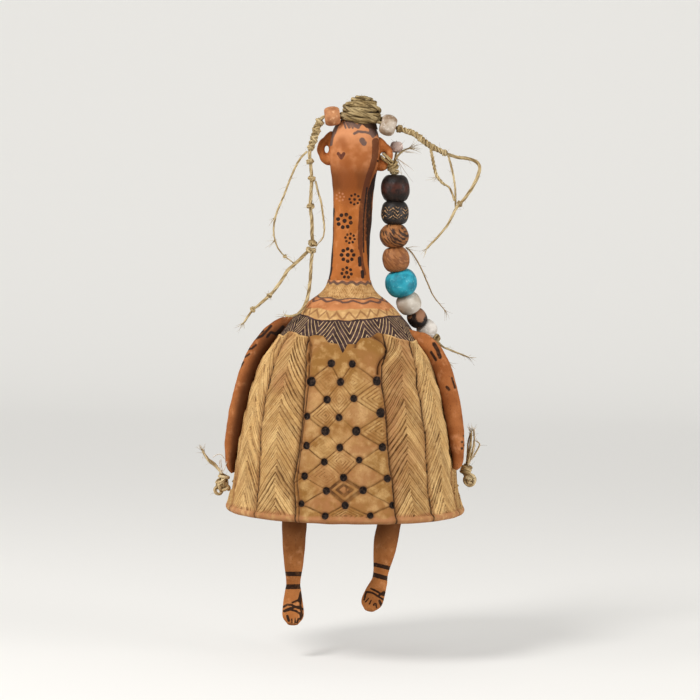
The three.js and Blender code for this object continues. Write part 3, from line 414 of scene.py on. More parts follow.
def outline_points():
    rim_middle = RIM_RADIUS - RIM_ROUND
    inner = [(radius, 0.0) for radius in np.linspace(RIM_RADIUS - WALL, rim_middle, 8, endpoint=False)]
    turns = np.linspace(0, math.pi / 2, 10, endpoint=False)
    rim = [(rim_middle + RIM_ROUND * math.sin(turn), RIM_ROUND * (1 - math.cos(turn))) for turn in turns]
    power = 2 / SKULL_FULLNESS
    dome = [
        (HEAD_HALF_WIDTH * math.cos(turn) ** power, WIDEST + SKULL_HEIGHT * math.sin(turn) ** power)
        for turn in np.linspace(0.02, math.pi / 2 - 0.001, DOME_ROWS)
    ]
    return np.concatenate([inner, rim, spline(OUTLINE, FLANK_ROWS), dome])


line = outline_points()
LINE_ALONG = run_length(line)
LINE_RADIUS = line[:, 0]
LINE_HEIGHT = line[:, 1]
slant = tangents(line)
FLANK_START = int(np.argmax(LINE_HEIGHT > RIM_ROUND))


def along_at(height):
    """How far along the outline, from the inside of the rim, a height on the flank is."""
    return np.interp(height, LINE_HEIGHT[FLANK_START:], LINE_ALONG[FLANK_START:])


def height_at(along):
    return np.interp(along, LINE_ALONG, LINE_HEIGHT)


def radius_at(along):
    return np.interp(along, LINE_ALONG, LINE_RADIUS)


def facing_at(along):
    """How far the surface faces outward and upward, at places along the outline."""
    return np.interp(along, LINE_ALONG, slant[:, 1]), -np.interp(along, LINE_ALONG, slant[:, 0])


def skin_points(turn, along, lift=0.0):
    """Points on the bell, neck and head, lifted off the surface."""
    outward, upward = facing_at(along)
    height = height_at(along)
    flat = ease(height, CHIN, WIDEST)
    reach = radius_at(along) + lift * outward
    turn = np.radians(turn)
    return stacked(
        HEAD_SHIFT * ease(height, COLLAR, CHIN) + reach * np.sin(turn),
        -reach * np.cos(turn) * (1 + (HEAD_HALF_DEPTH / HEAD_HALF_WIDTH - 1) * flat),
        height + lift * upward,
    )


# Marks that are painted or scratched where the photograph shows them

FAR = -3.0  # millimetres: well outside a mark


def stroke_gap(places, route):
    """The distance in pixels from places in the photograph to a line of points."""
    route = np.asarray(route, float)
    if len(route) == 1:
        return np.linalg.norm(places - route[0], axis=-1)
    gap = np.full(places.shape[:-1], np.inf)
    for start, end in zip(route, route[1:]):
        span = end - start
        share = np.clip(((places - start) @ span) / (span @ span), 0, 1)
        gap = np.minimum(gap, np.linalg.norm(places - start - share[..., None] * span, axis=-1))
    return gap


def marks(points, strokes, facing):
    """How far points lie inside the nearest stroke, in millimetres. A stroke is (half width, places)."""
    places = to_photo(points)
    cover = np.full(points.shape[:-1], FAR)
    for half_width, route in strokes:
        cover = np.maximum(cover, (half_width - stroke_gap(places, route)) * PIXEL)
    return np.where(facing, cover, FAR)


def rosette(x, y, ring, dot, count, start=0.0):
    turns = [2 * math.pi * (step + start) / count for step in range(count)]
    dots = [(dot, [(x + ring * math.cos(turn), y + ring * math.sin(turn))]) for turn in turns]
    return dots + [(dot * 1.1, [(x, y)])]


# Skirt: herringbone panels between seams, and a lozenge panel at the front

SEAM_A = [
    (0, -47.4), (18.4, -50.4), (33, -51), (51.8, -54.8), (60.9, -55.3), (72.8, -56), (83.8, -56.7),
    (98, -60.8),
]
SEAM_B = [
    (0, -23.4), (13.4, -25.3), (22.2, -27), (34.1, -25.5), (44, -25), (56.5, -24.9), (74.4, -26), (85.1, -28),
    (98, -33.9),
]
SEAM_C = [
    (0, 24.8), (11.8, 24.7), (22.5, 24.4), (32.5, 22.8), (45, 22.4), (61.1, 22.5), (75.4, 21.2), (86, 22.7),
    (95, 30.8),
]
SEAM_D = [
    (0, 46.6), (7.9, 46.7), (20.5, 47), (35.1, 46.9), (48.5, 48.5), (62.2, 47.8), (74.8, 47.7), (87.2, 51.8),
    (98, 57.5),
]
BACK_PANELS = 10
SKIRT_EDGE = [
    (-180, 99), (-160, 101.5), (-140, 99), (-120, 101), (-100, 98.5), (-80, 100.5), (-66.3, 99.9),
    (-62.8, 102.9), (-51.2, 102.4), (-44.4, 101.2), (-34.2, 100.7), (-28.7, 101.7), (-21.1, 101.5),
    (-15.6, 98.1), (-7.8, 97.4), (-3.6, 92.6), (-0.3, 97.5), (5.9, 97.6), (10.1, 100.7), (18.5, 101.1),
    (26.5, 103.7), (37.8, 102.3), (44.9, 100.5), (61.7, 98.3), (80, 100), (100, 98.5), (120, 101), (140, 99),
    (160, 101.5), (180, 99),
]
LEAF_FIRST = 10.0  # along the flank, from the rim to the first leaf's foot
LEAF_RISE = 1.35  # how steeply the rows climb to the middle of their panel
LEAF_DEPTH = 0.8
ROW_STEP = 3.7
ROWS_IN_LEAF = 5
ROW_DEPTH = 0.5
ROW_SLANT = math.cos(math.atan(LEAF_RISE))
GROOVE_DEPTH = 0.8
GROOVE_WIDTH = 0.45
SEAM_DEPTH = 1.0
SEAM_WIDTH = 0.9
EDGE_STEP = 0.9  # how far the skirt stands out from the shoulder above it
SKIRT_ROWS = 240
HAIRLINE = 0.52  # where the second line runs in a row
HAIRLINE_DEPTH = 0.56
NO_LINE = 2.0  # millimetres: too far from a line to show


def seam_turn(index, height):
    """The seams in order from the front's right seam, round the back, to its left seam."""
    if index == 0:
        return table(height, SEAM_C)
    if index == BACK_PANELS + 2:
        return table(height, SEAM_B) + 360
    right = table(height, SEAM_D)
    left = table(height, SEAM_A) + 360
    share = (index - 1) / BACK_PANELS
    drift = 1.1 * np.sin(np.asarray(height) / 17 + index * 2.1) * (0 < share < 1)
    return right + (left - right) * share + drift


def edge_at(turn):
    return table((np.asarray(turn) + 180) % 360 - 180, SKIRT_EDGE)


def panel_grid(start, end, columns):
    """A panel's turns, places along the outline, shares across, width and points, from the rim up."""
    share = np.linspace(0, 1, columns)[None, :]
    level = np.linspace(0, 1, SKIRT_ROWS)[:, None]
    along = level * along_at(SKIRT_EDGE[0][1]) * np.ones_like(share)
    for _ in range(3):
        height = height_at(along)
        turn = start(height) + (end(height) - start(height)) * share
        along = level * along_at(edge_at(turn))
    height = height_at(along)
    width = radius_at(along) * np.radians(end(height) - start(height))
    return turn, along, np.broadcast_to(share, turn.shape), width, skin_points(turn, along)


def panel_fade(along, turn):
    """Reliefs run out at the rim and at the edge, and the edge itself drops to the shoulder."""
    below = along_at(edge_at(turn)) - along
    fade = ease(np.minimum(along - along_at(RIM_ROUND), below), 0, 3)
    return fade, -(EDGE_STEP + 0.3) * (1 - ease(below, 0, 0.7)), below


def rim_pink(points, height):
    return ease(4.4 + 1.6 * rough(points, 7, 9) - height, -1.2, 0.9)


def herringbone(skin, index, columns):
    """A panel of rows that climb to its middle, in leaves that overlap like shingles."""
    def start(height):
        return seam_turn(index, height)

    def end(height):
        return seam_turn(index + 1, height)

    turn, along, share, width, flat = panel_grid(start, end, columns)
    half = HIP_RADIUS * math.radians(end(0.0) - start(0.0)) / 2
    middle = half * (2 * share - 1) + 0.9 * np.sin(along / 21 + index)
    sway = 0.8 * rough(flat, 16, 11 + index) + 0.4 * rough(flat, 4, 31 + index)
    phase = (along - along_at(RIM_ROUND) + LEAF_RISE * np.abs(middle) + sway - LEAF_FIRST) / ROW_STEP
    part = phase % 1
    leaf = phase / ROWS_IN_LEAF % 1
    row_key = np.stack([np.floor(phase), np.sign(middle) + 7 * index, 0 * phase], -1)
    depth = 0.8 + 0.6 * rough(row_key, 1.0, 5)
    second = 0.65 + 0.55 * rough(row_key + (0.0, 40.0, 0.0), 1.0, 6)
    groove = np.minimum(part, 1 - part) * ROW_STEP * ROW_SLANT
    hairline = np.abs(part - HAIRLINE) * ROW_STEP * ROW_SLANT
    seam = np.minimum(share, 1 - share) * width + 0.25 * rough(flat, 5, 51)
    fade, step, below = panel_fade(along, turn)
    lift = -LEAF_DEPTH * (1 - leaf) + ROW_DEPTH * (part - 1) - SEAM_DEPTH * notch(seam, SEAM_WIDTH)
    lift = lift - GROOVE_DEPTH * depth * notch(groove, GROOVE_WIDTH)
    lift = lift - HAIRLINE_DEPTH * second * notch(hairline, GROOVE_WIDTH)
    lift = fade * lift + step + 0.15 * rough(flat, 9, 3)
    at_right = index == 0
    outer = index in (1, BACK_PANELS)
    stain = ease(rough(flat, 19, 71) + (0.6 if at_right else -0.15) - 0.25 * share * at_right, 0.1, 0.8)
    tone = (0.0 if outer else 0.3) * ease(rough(row_key + (0.0, 80.0, 0.0), 1.0, 7), -0.3, 0.9)
    lines = np.minimum(groove / np.clip(depth, 0.3, 2), hairline / np.clip(second, 0.2, 2) + 0.12)
    skin.add_grid(
        skin_points(turn, along, lift),
        groove=np.where(fade > 0.4, lines, NO_LINE), seam=seam, dot=FAR, edge=below,
        pink=np.maximum(rim_pink(flat, height_at(along)), (0.3 if outer else 0.75) * stain),
        brown=(0.0 if outer else 0.22) + tone + 0.2 * ease(rough(flat, 14, 73), -0.2, 0.8),
    )


# The lozenge panel: the dots' places in the photograph, row by row, with the radius of each
LOZENGE_DOTS = [
    [(331.1, 363, 3.7), (352.3, 363.5, 3.5)],
    [(310.9, 381.2, 4.7), (340.5, 381.7, 3.9), (377.5, 380.7, 4.4)],
    [(326.9, 399.5, 3.7), (353.8, 398.1, 3.6)],
    [(306.4, 416, 3.5), (339, 417.4, 3.5), (381.3, 412.7, 4.6)],
    [(325.3, 431, 4.4), (356.5, 431, 4.3)],
    [(306, 445.4, 3.5), (339.7, 447.5, 3.6), (383, 447.2, 3.9)],
    [(324.1, 462, 3.6), (359.3, 460, 3.3)],
    [(304.1, 476.1, 3.5), (343.5, 477.7, 3.7), (387.8, 478.6, 3.6)],
    [(326.1, 490.7, 3.7), (363.4, 490.2, 3.7)],
    [(300.7, 503.4, 3.3), (345.2, 505.3, 3.7), (392.9, 505.1, 3.4)],
    [(325, 516, 3.5), (370.4, 515.5, 3.2)],
]
DOT_DEPTH = 1.0
DOT_SQUASH = 0.94
SCRATCH_DEPTH = 0.4
CELL_SWELL = 0.4
FOLD_DEPTH = 1.5
SECOND_SEAM_TOP = 92
# How strongly lozenges, by lattice column and row, are scratched with smaller ones, and how pink some are
NESTED_CELLS = {
    (-1, 1): 0.5, (1, 1): 0.5, (0, 2): 0.6, (-1, 3): 0.65, (1, 3): 0.3, (-1, 5): 0.45, (0, 6): 0.6,
    (-1, 7): 0.5, (2, 2): 0.65, (2, 4): 0.65, (2, 6): 0.4, (0, 10): 0.8, (-2, 8): 0.4, (2, 8): 0.4,
    (0, 4): 0.25,
}
PINK_CELLS = {
    (-1, 1): 0.35, (1, 3): 0.7, (1, 5): 0.9, (-2, 2): 0.7, (-2, 4): 0.5, (1, 7): 0.9, (-1, 9): 1.0,
    (1, 9): 0.5, (-1, 7): 0.7, (0, 4): 0.3, (-2, 6): 0.5, (2, 10): 0.6, (-1, 3): 0.35, (0, 2): 0.3,
}
NEST_RINGS = (0.72, 0.5, 0.29, 0.08)
CELL_SIZE = 4.9  # from the middle of a lozenge to its side
BOLD_CELL = (0, 8)
BOLD_RINGS = (0.88, 0.4)
BOLD_LINE = 0.3
FOLD_LINES = [
    [(368.5, 335.2), (377, 336.6), (384, 341), (387.6, 347), (386, 353.5), (381, 360), (378.6, 366),
    (378.4, 373)],
    [(360.5, 336.5), (356, 341), (355.4, 346)],
    [(307.4, 336), (310.5, 345), (310, 354), (307, 362)],
]
TICK = [(346.2, 486.5), (346.4, 494.5)]


def lattice_places(places):
    """Lattice columns and rows of places in the photograph: dots sit where column plus row is odd."""
    rows = np.array([np.mean([dot[1] for dot in row]) for row in LOZENGE_DOTS])
    last = len(rows) - 1
    row = np.interp(places[..., 1], rows, np.arange(len(rows)))
    row = np.where(places[..., 1] < rows[0], (places[..., 1] - rows[0]) / (rows[1] - rows[0]), row)
    row = np.where(places[..., 1] > rows[-1], last + (places[..., 1] - rows[-1]) / (rows[-1] - rows[-2]), row)
    pairs = [(2 * step, dots) for step, dots in enumerate(LOZENGE_DOTS[0::2])]
    threes = [(2 * step + 1, dots) for step, dots in enumerate(LOZENGE_DOTS[1::2])]
    order = [(threes, 0), (pairs, 0), (threes, 1), (pairs, 1), (threes, 2)]
    knots = [table(row, [(at, dots[place][0]) for at, dots in kind]) for kind, place in order]
    x = places[..., 0]
    column = -2 + (x - knots[0]) / (knots[1] - knots[0])
    for step in range(1, 4):
        later = step - 2 + (x - knots[step]) / (knots[step + 1] - knots[step])
        column = np.where(x > knots[step], later, column)
    return column, row


def lozenge_cells(places):
    """The middle of the lozenge that each place is in, and how far out of it the place is, from 0 to 1."""
    column, row = lattice_places(places)
    rising = np.round((column + row) / 2) * 2
    falling = np.round((column - row) / 2) * 2
    out = np.maximum(np.abs(column + row - rising), np.abs(column - row - falling))
    return np.round((rising + falling) / 2), np.round((rising - falling) / 2), out, row


def lozenge_dots(places):
    """How far places lie inside the nearest dot, in millimetres."""
    cover = np.full(places.shape[:-1], FAR)
    for x, y, radius in sum(LOZENGE_DOTS, []):
        gap = np.linalg.norm((places - (x, y)) * (1.0, DOT_SQUASH), axis=-1)
        cover = np.maximum(cover, (radius - gap) * PIXEL)
    return cover


def ring_gap(out, rings):
    """The distance in millimetres to the nearest of the lozenges that lie one in the other."""
    return np.min([np.abs(out - ring) for ring in rings], axis=0) * CELL_SIZE


def lozenge_scratches(at_column, at_row, out):
    """How far the nearest scratch is, how strong the scratches are, and how pink the clay is."""
    groove = (1 - out) * CELL_SIZE
    rings = ring_gap(out, NEST_RINGS)
    strength = np.ones(out.shape)
    pink = np.zeros(out.shape)
    for (column, row), weight in NESTED_CELLS.items():
        here = (at_column == column) & (at_row == row)
        groove = np.where(here, np.minimum(groove, rings / weight + 0.04), groove)
        strength = np.where(here, np.clip(weight, 0.4, 1.6), strength)
    for (column, row), weight in PINK_CELLS.items():
        here = (at_column == column) & (at_row == row)
        pink = np.where(here, 0.6 * weight * ease(1 - out, 0.0, 0.2), pink)
    here = (at_column == BOLD_CELL[0]) & (at_row == BOLD_CELL[1])
    groove = np.where(here, np.maximum(ring_gap(out, BOLD_RINGS) - BOLD_LINE, 0), groove)
    return groove, strength, np.where(here, 0.7 * (1 - ease(out, 0.3, 0.45)), pink)


def lozenge(skin, columns):
    """The front panel, with its lozenges, dots and folds where the photograph shows them."""
    turn, along, share, width, flat = panel_grid(
        lambda height: table(height, SEAM_B), lambda height: table(height, SEAM_C), columns)
    height = height_at(along)
    places = to_photo(flat)
    dot = lozenge_dots(places) + 0.16 * rough(flat, 2.5, 23)
    wobble = 0.9 * np.stack([rough(flat, 9, 21), rough(flat, 9, 22)], -1)
    at_column, at_row, out, row = lozenge_cells(places + wobble)
    groove, strength, pink = lozenge_scratches(at_column, at_row, out)
    drawn = ease(row, -0.35, 0.5) * ease(along, along_at(3.0), along_at(5.5))
    groove = np.where(drawn > 0.4, groove, NO_LINE)
    groove = np.minimum(groove, stroke_gap(places, TICK) * PIXEL)
    creases = np.min([stroke_gap(places, fold) for fold in FOLD_LINES], axis=0) * PIXEL
    seam = np.minimum(share, 1 - share) * width + 0.3 * rough(flat, 5, 52)
    second = np.abs(share * width - 1.7 - 0.7 * np.sin(along / 11)) + 0.25
    seam = np.where(height < SECOND_SEAM_TOP, np.minimum(seam, second), seam)
    seam = np.minimum(seam, stroke_gap(places, FOLD_LINES[0]) * PIXEL * 0.9 + 0.3)
    fade, step, below = panel_fade(along, turn)
    lift = -SCRATCH_DEPTH * strength * drawn * notch(groove, GROOVE_WIDTH) - FOLD_DEPTH * notch(creases, 1.2)
    lift = lift + CELL_SWELL * (drawn * np.sqrt(np.clip(1 - out, 0, 1)) - 1)
    lift = lift + 0.35 * ease(height, 84, 92) - DOT_DEPTH * ease(dot, -0.35, 0.7)
    lift = fade * (lift - SEAM_DEPTH * notch(seam, SEAM_WIDTH)) + step + 0.2 * rough(flat, 8, 4)
    worn = np.maximum(pink, 0.4 * ease(rough(flat, 12, 72), -0.1, 0.9))
    # the fold creases join the grooves, so they take the grooves' painted shade
    skin.add_grid(
        skin_points(turn, along, lift),
        groove=np.minimum(groove / np.clip(strength, 0.45, 2), creases * 0.45),
        seam=seam, dot=dot, edge=below,
        pink=np.maximum(rim_pink(flat, height), worn),
        brown=0.9 + 0.25 * ease(height, 76, 90) + 0.2 * ease(-height, -34, -8) + 0.25 * rough(flat, 9, 74),
    )


def slip_material():
    finish = clay("painted_slip", (140, 86, 56), (164, 108, 76), (180, 122, 90))
    bare = finish.mix(0.6, finish.base, (166, 114, 74))
    finish.base = (204, 163, 105)
    finish.coat(finish.patches(14, 4, 0.3, 0.72), (226, 190, 131))
    finish.coat(finish.patches(3.2, 5, 0.5, 0.78), (226, 192, 134))
    streaks = finish.noise(1.1, 4, (1.0, 1.0, 0.16))
    finish.coat(finish.span(streaks, 0.5, 0.72, 0.0, 0.35), (166, 120, 68))
    mottle = finish.patches(4.5, 5, 0.25, 0.65, 0.5, 1.0)
    finish.coat(finish.times(finish.attribute("brown"), mottle), (136, 95, 46))
    rubbed = finish.times(finish.attribute("pink"), finish.patches(3.5, 5, 0.25, 0.6, 0.35, 0.9))
    finish.coat(rubbed, bare)
    finish.coat(finish.patches(0.7, 3, 0.5, 0.72, 0.0, 0.35), (140, 98, 54))
    groove = finish.attribute("groove")
    broken = finish.patches(4.0, 4, 0.3, 0.6, 0.55, 1.0)
    # painted shade: a soft brown band along each groove and fold crease
    finish.coat(finish.times(finish.span(groove, 0.05, 1.1, 0.55, 0.0), broken), (128, 84, 42))
    # painted shade: a dark line down the bottom of each groove, in broken patches
    pressed = finish.times(finish.patches(8.0, 3, 0.42, 0.66, 0.5, 0.95), broken)
    finish.coat(finish.times(finish.span(groove, 0.1, 0.46, 1.0, 0.0), pressed), (80, 50, 26))
    seam = finish.attribute("seam")
    # painted shade: a broad brown darkening towards each seam
    finish.coat(finish.span(seam, 0.4, 3.4, 0.6, 0.0), (128, 84, 46))
    inked = finish.patches(3.0, 4, 0.3, 0.6, 0.65, 1.0)
    finish.coat(finish.times(finish.span(seam, 0.25, 0.75, 0.95, 0.0), inked), (48, 30, 20))
    finish.coat(finish.span(finish.attribute("edge"), 0.15, 0.9, 0.6, 0.0), (112, 78, 58))
    dot = finish.attribute("dot")
    finish.coat(finish.span(dot, -1.5, 0.1, 0.0, 0.55), (106, 66, 38))
    ink = finish.mix(finish.patches(1.4, 3, 0.4, 0.7), (26, 19, 16), (60, 46, 38))
    finish.coat(finish.worn(dot, 0.16, 1.0, 0.45), ink)
    lines = finish.span(groove, 0.05, 0.45)
    return finish.done((lines, 0.14), (finish.noise(0.5, 3), 0.09), (finish.noise(2.4, 3), 0.16))


slip = slip_material()
FRONT_COLUMNS = 150
SIDE_COLUMNS = 76
BACK_COLUMNS = 56
front = Skin()
lozenge(front, FRONT_COLUMNS)
add_piece("skirt_front", front, slip, *BELL)
right_panels = Skin()
left_panels = Skin()
for panel in range(BACK_PANELS + 2):
    seen = panel <= 1 or panel >= BACK_PANELS
    side_skin = right_panels if panel <= BACK_PANELS / 2 else left_panels
    herringbone(side_skin, panel, SIDE_COLUMNS if seen else BACK_COLUMNS)
add_piece("skirt_right", right_panels, slip, *BELL)
add_piece("skirt_left", left_panels, slip, *BELL)

# The inside of the bell

HOLLOW_FOOT = 3.0
HOLLOW_TOP = 176.0
HOLLOW_ROWS = 120
HOLLOW_SIDES = 128
THROWING_DEPTH = 0.22  # of the rings that throwing left
THROWING_RATE = 1.9
THROWN_RADIUS = 9


def hollow_skin():
    along = np.linspace(along_at(HOLLOW_FOOT), along_at(HOLLOW_TOP), HOLLOW_ROWS)
    outward, upward = facing_at(along)
    inside = np.stack([radius_at(along) - WALL * outward, height_at(along) - WALL * upward], axis=1)
    inside = np.concatenate([[[LINE_RADIUS[0], 0.0]], inside, [[0.05, inside[-1, 1] + inside[-1, 0]]]])
    turns = full_turn(HOLLOW_SIDES)
    thrown = (inside[:, 0] > THROWN_RADIUS)[:, None]
    throwing = THROWING_DEPTH * np.sin(inside[:, 1] * THROWING_RATE)[:, None] * thrown
    reach = inside[:, :1] + throwing
    points = stacked(reach * np.sin(turns), reach * np.cos(turns), inside[:, 1:])
    points = points + 0.25 * rough(points, 9, 8)[..., None] * np.array([1, 1, 0])
    skin = Skin()
    skin.add_grid(points, wrap=True)
    return skin


raw_clay = clay("raw_clay", (120, 70, 42), (150, 92, 58), (166, 106, 70))
raw_finish = raw_clay.done((raw_clay.noise(0.7, 3), 0.12), (raw_clay.noise(3.0, 3), 0.25))
add_piece("bell_inside", hollow_skin(), raw_finish, *BELL)

# Shoulders: painted bands

BAND_TOP = [(-90, 111.6), (-60, 111.6), (-32, 109.5), (-4, 109.3), (16, 110.1), (50, 111.9), (90, 111.6)]
BAND_RADIUS = 36.0
VEE_COUNT = 12
VEE_START = 0.49
VEE_RISE = 1.9
VEE_STEP = 4.5
CLAY_BAND_LOW = 115.1
VEE_HALF_WIDTH = math.pi * BAND_RADIUS / VEE_COUNT
WAVE_LINES = [  # height, swing, waves round the doll, start, wobble with its size and seed, and half width
    (119.3, 0.55, 13, 0, 0.5, 7, 95, 0.42), (121.0, 0.35, 9, 1, 0.4, 6, 96, 0.3),
    (129.4, 0.55, 14, 0, 0.3, 5, 90, 0.68),
]
TOOTH_COUNT = 26
TOOTH_HEIGHT = 3.6
HATCH_COUNT = 34
HATCH_RISE = 2.6
HATCH_STEP = 1.9
SCRATCH_WIDTH = 0.25
NO_SCRATCH = 3.0  # millimetres: too far from a scratch to show
SHOULDER_START = 84.0
SHOULDER_END = COLLAR + 3.8
SHOULDER_ROWS = 156
SHOULDER_COLUMNS = 640


def around(start, end, rows, columns):
    """A grid round the doll between two places along its outline: turns, places, points and heights."""
    along = np.linspace(start, end, rows)[:, None]
    turn = np.linspace(-180, 180, columns, endpoint=False)[None, :]
    turns, along = np.broadcast_arrays(turn, along)
    return turns, along, skin_points(turns, along), height_at(along)


def sawtooth(turns, count, shift):
    """A zigzag from 0 to 1 that repeats round the doll."""
    return np.abs((turns / 360 * count + shift) % 1 - 0.5) * 2


def off_line(value):
    """How far a value is from the nearest whole number."""
    return np.abs(value - np.round(value))


def shoulder_skin():
    start = along_at(SHOULDER_START)
    turns, along, flat, height = around(start, along_at(SHOULDER_END), SHOULDER_ROWS, SHOULDER_COLUMNS)
    top = table(turns, BAND_TOP) + 0.4 * rough(flat, 5, 91)
    vee = sawtooth(turns, VEE_COUNT, VEE_START + 0.06 * rough(flat, 11, 92)) * VEE_HALF_WIDTH
    rise = (along - start - VEE_RISE * vee + 0.5 * rough(flat, 7, 93)) / VEE_STEP
    scratch = off_line(rise) * VEE_STEP * math.cos(math.atan(VEE_RISE))
    scratch = np.where(height < top - 0.6, scratch, NO_SCRATCH)
    tooth = TOOTH_HEIGHT * sawtooth(turns, TOOTH_COUNT, 0.16 * rough(flat, 8, 94))
    tooth_line = table(turns, BAND_TOP) + 0.7 + tooth + 0.5 * rough(flat, 4, 99)
    zigzag = 0.3 - np.abs(height - tooth_line) * 0.4
    zigzag = np.where((height > top) & (height < CLAY_BAND_LOW + 0.6), zigzag, FAR)
    lines = [
        level + swing * np.sin(np.radians(turns) * count + begin) + wobble * rough(flat, size, seed)
        for level, swing, count, begin, wobble, size, seed, _ in WAVE_LINES
    ]
    waves = np.max([row[-1] - np.abs(height - wave) * 0.8 for wave, row in zip(lines, WAVE_LINES)], axis=0)
    _, wave_high, collar_line = lines
    cream_low = np.minimum(height - top, CLAY_BAND_LOW + 1.1 * rough(flat, 5, 97) - height) * 1.3
    cream = np.maximum(cream_low, np.minimum(height - wave_high, collar_line - height))
    hatch_rise = HATCH_RISE * sawtooth(turns, HATCH_COUNT, 0.1 * rough(flat, 5, 89))
    hatch = off_line((height - hatch_rise + 0.3 * rough(flat, 4, 88)) / HATCH_STEP) * 0.9
    hatch = np.where((height > wave_high + 0.4) & (height < collar_line - 0.4), hatch, NO_SCRATCH)
    under = height - edge_at(turns)
    lift = 0.12 * rough(flat, 6, 98)
    lift = lift - 0.16 * notch(scratch, SCRATCH_WIDTH) - 0.12 * notch(hatch, SCRATCH_WIDTH)
    lift = lift - EDGE_STEP * (1 - ease(under, 0.6, 9)) - 2.6 * (1 - ease(under, -2.4, -0.6))
    skin = Skin()
    skin.add_grid(
        skin_points(turns, along, lift), wrap=True,
        dark=(top - height) * 1.3, scratch=scratch, zigzag=zigzag, waves=waves, cream=cream, hatch=hatch,
    )
    return skin


def shoulder_material():
    finish = clay("painted_shoulder", (164, 102, 60), (190, 126, 80), (206, 146, 98))
    cream = finish.mix(finish.patches(4, 5, 0.35, 0.7), (178, 136, 86), (206, 166, 112))
    finish.coat(finish.worn(finish.attribute("cream"), 0.35, 2.0, 1.4), cream)
    hatch = finish.span(finish.attribute("hatch"), 0.08, 0.42, 0.85, 0.0)
    finish.coat(finish.times(hatch, finish.patches(2.2, 4, 0.35, 0.6, 0.25, 1.0)), (128, 86, 44))
    finish.draw(("zigzag", (126, 84, 52), 0.75, 0.2), ("waves", (84, 62, 56), 0.9, 0.16))
    dark = finish.worn(finish.attribute("dark"), 0.25, 1.6, 1.0)
    umber = finish.mix(finish.patches(3.5, 5, 0.35, 0.7), (50, 36, 34), (80, 61, 57))
    finish.coat(dark, umber)
    lines = finish.span(finish.attribute("scratch"), 0.1, 0.3, 0.95, 0.0)
    lines = finish.times(lines, finish.patches(2.5, 3, 0.3, 0.5, 0.45, 1.0))
    finish.coat(finish.times(lines, dark), (206, 172, 126))
    return finish.done((finish.noise(0.5, 3), 0.09), (finish.noise(2.6, 3), 0.15))


add_piece("shoulders", shoulder_skin(), shoulder_material(), *BELL)

# Neck and head

BLACK_STROKES = [
    (2.6, [
        (377, 176), (373.6, 183), (370.4, 192), (369.2, 205), (368.8, 222), (369, 240), (369.4, 252),
        (370.4, 264), (373.4, 276), (377, 284),
    ]),
    (1.4, [(333.6, 209), (332.4, 224), (331.8, 240), (331.6, 256), (330.8, 270), (327.5, 282)]),
    (1.2, [(377.7, 161.1)]), (1.7, [(359.4, 258), (359.9, 265)]), (1.6, [(362.2, 271.5), (362.8, 277)]),
    (0.8, [(367, 188), (365, 205), (363.8, 222), (363.6, 240), (363.8, 252)]),
]
for flower in (
    (354.6, 199.4, 4.9, 1.3, 8, 0.1), (344.5, 220.9, 6.5, 2.0, 8, 0.35), (350, 238.4, 4.6, 1.35, 8, 0.2),
    (347.6, 255, 6.1, 1.9, 8, 0.0), (346.6, 272.6, 4.9, 1.6, 7, 0.3),
):
    BLACK_STROKES += rosette(*flower)
FAINT_STROKES = rosette(340.3, 196.8, 3.9, 1.0, 7)
HEART_STROKES = [
    (1.7, [(338, 153.6), (340.9, 158)]), (1.7, [(343.6, 153.6), (340.9, 158)]), (2.0, [(340.9, 156)]),
]
BROWN_STROKES = [
    (3.1, [(375.7, 141), (375.6, 149), (375, 156.5)]), (2.8, [(375, 156.5), (372, 168), (367.7, 180)]),
    (2.8, [(367.7, 180), (365.4, 190), (363.2, 200), (361.6, 212)]),
    (2.5, [(361.6, 212), (360.8, 224), (360.4, 236), (360.6, 248)]),
    (1.6, [(360.6, 248), (362, 262), (364.6, 274)]),
    (0.8, [(366.2, 194), (366, 206), (365.6, 222), (365.4, 240)]),
]
HAIR_STROKES = [
    (2.0, [(351.5, 120), (354.5, 125.5), (358, 127)]), (1.6, [(358, 127), (361.3, 122.5), (363, 119)]),
    (1.5, [(346.5, 121.5), (349.4, 127.2)]), (1.0, [(344, 122.5), (345.8, 128)]),
    (1.0, [(349, 121), (352.8, 128)]),
    (4.0, [(365.5, 121.6), (371.5, 126), (376, 130.6)]), (3.2, [(369, 121), (375.4, 126), (378.4, 131.4)]),
    (2.4, [(362, 120), (368, 124)]), (2.4, [(371.5, 131), (374.4, 134)]),
    (1.3, [(354.3, 133.6), (358, 131.6), (365.8, 132), (371.2, 133.6), (373.5, 136.6)]),
    (3.0, [(337.5, 119.5), (333.8, 128), (331.6, 135)]), (2.2, [(331.6, 135), (330.4, 144)]),
    (1.6, [(341, 119.5), (336.5, 126), (334.3, 133)]), (2.9, [(362.2, 140.3), (364.4, 143)]),
]
# painted shade: a brown patch in the hollow of the left eye, and a darker stroke down under the chin
EYE_AND_CHIN_SHADE_STROKES = [(3.6, [(341.4, 140.4), (342.8, 144)]), (7.5, [(345, 168), (349, 182), (350, 200)])]
HEAD_STROKES = {
    "black": BLACK_STROKES, "faint": FAINT_STROKES, "heart": HEART_STROKES, "brown": BROWN_STROKES,
    "eye_and_chin_shade": EYE_AND_CHIN_SHADE_STROKES,
}
CHIN_SHADE = (181, 15)  # where the face darkens above the neck, and over how many pixels
BROW_LIGHT = (128, 17)
BROW_RIDGE = (135, 5)
NOSE_ACROSS = (350.5, 5.5)
NOSE_DOWN = (147, 9)
HAIR_LINE = [(0, 224), (66, 222), (84, 207), (100, 196), (130, 191), (180, 190)]
PLAIT_HALF_WIDTH = 1.4
HEAD_START = COLLAR + 1.6
HEAD_ROWS = 300
HEAD_COLUMNS = 300
SEEN_TURN = 92  # degrees: how far round the photograph sees


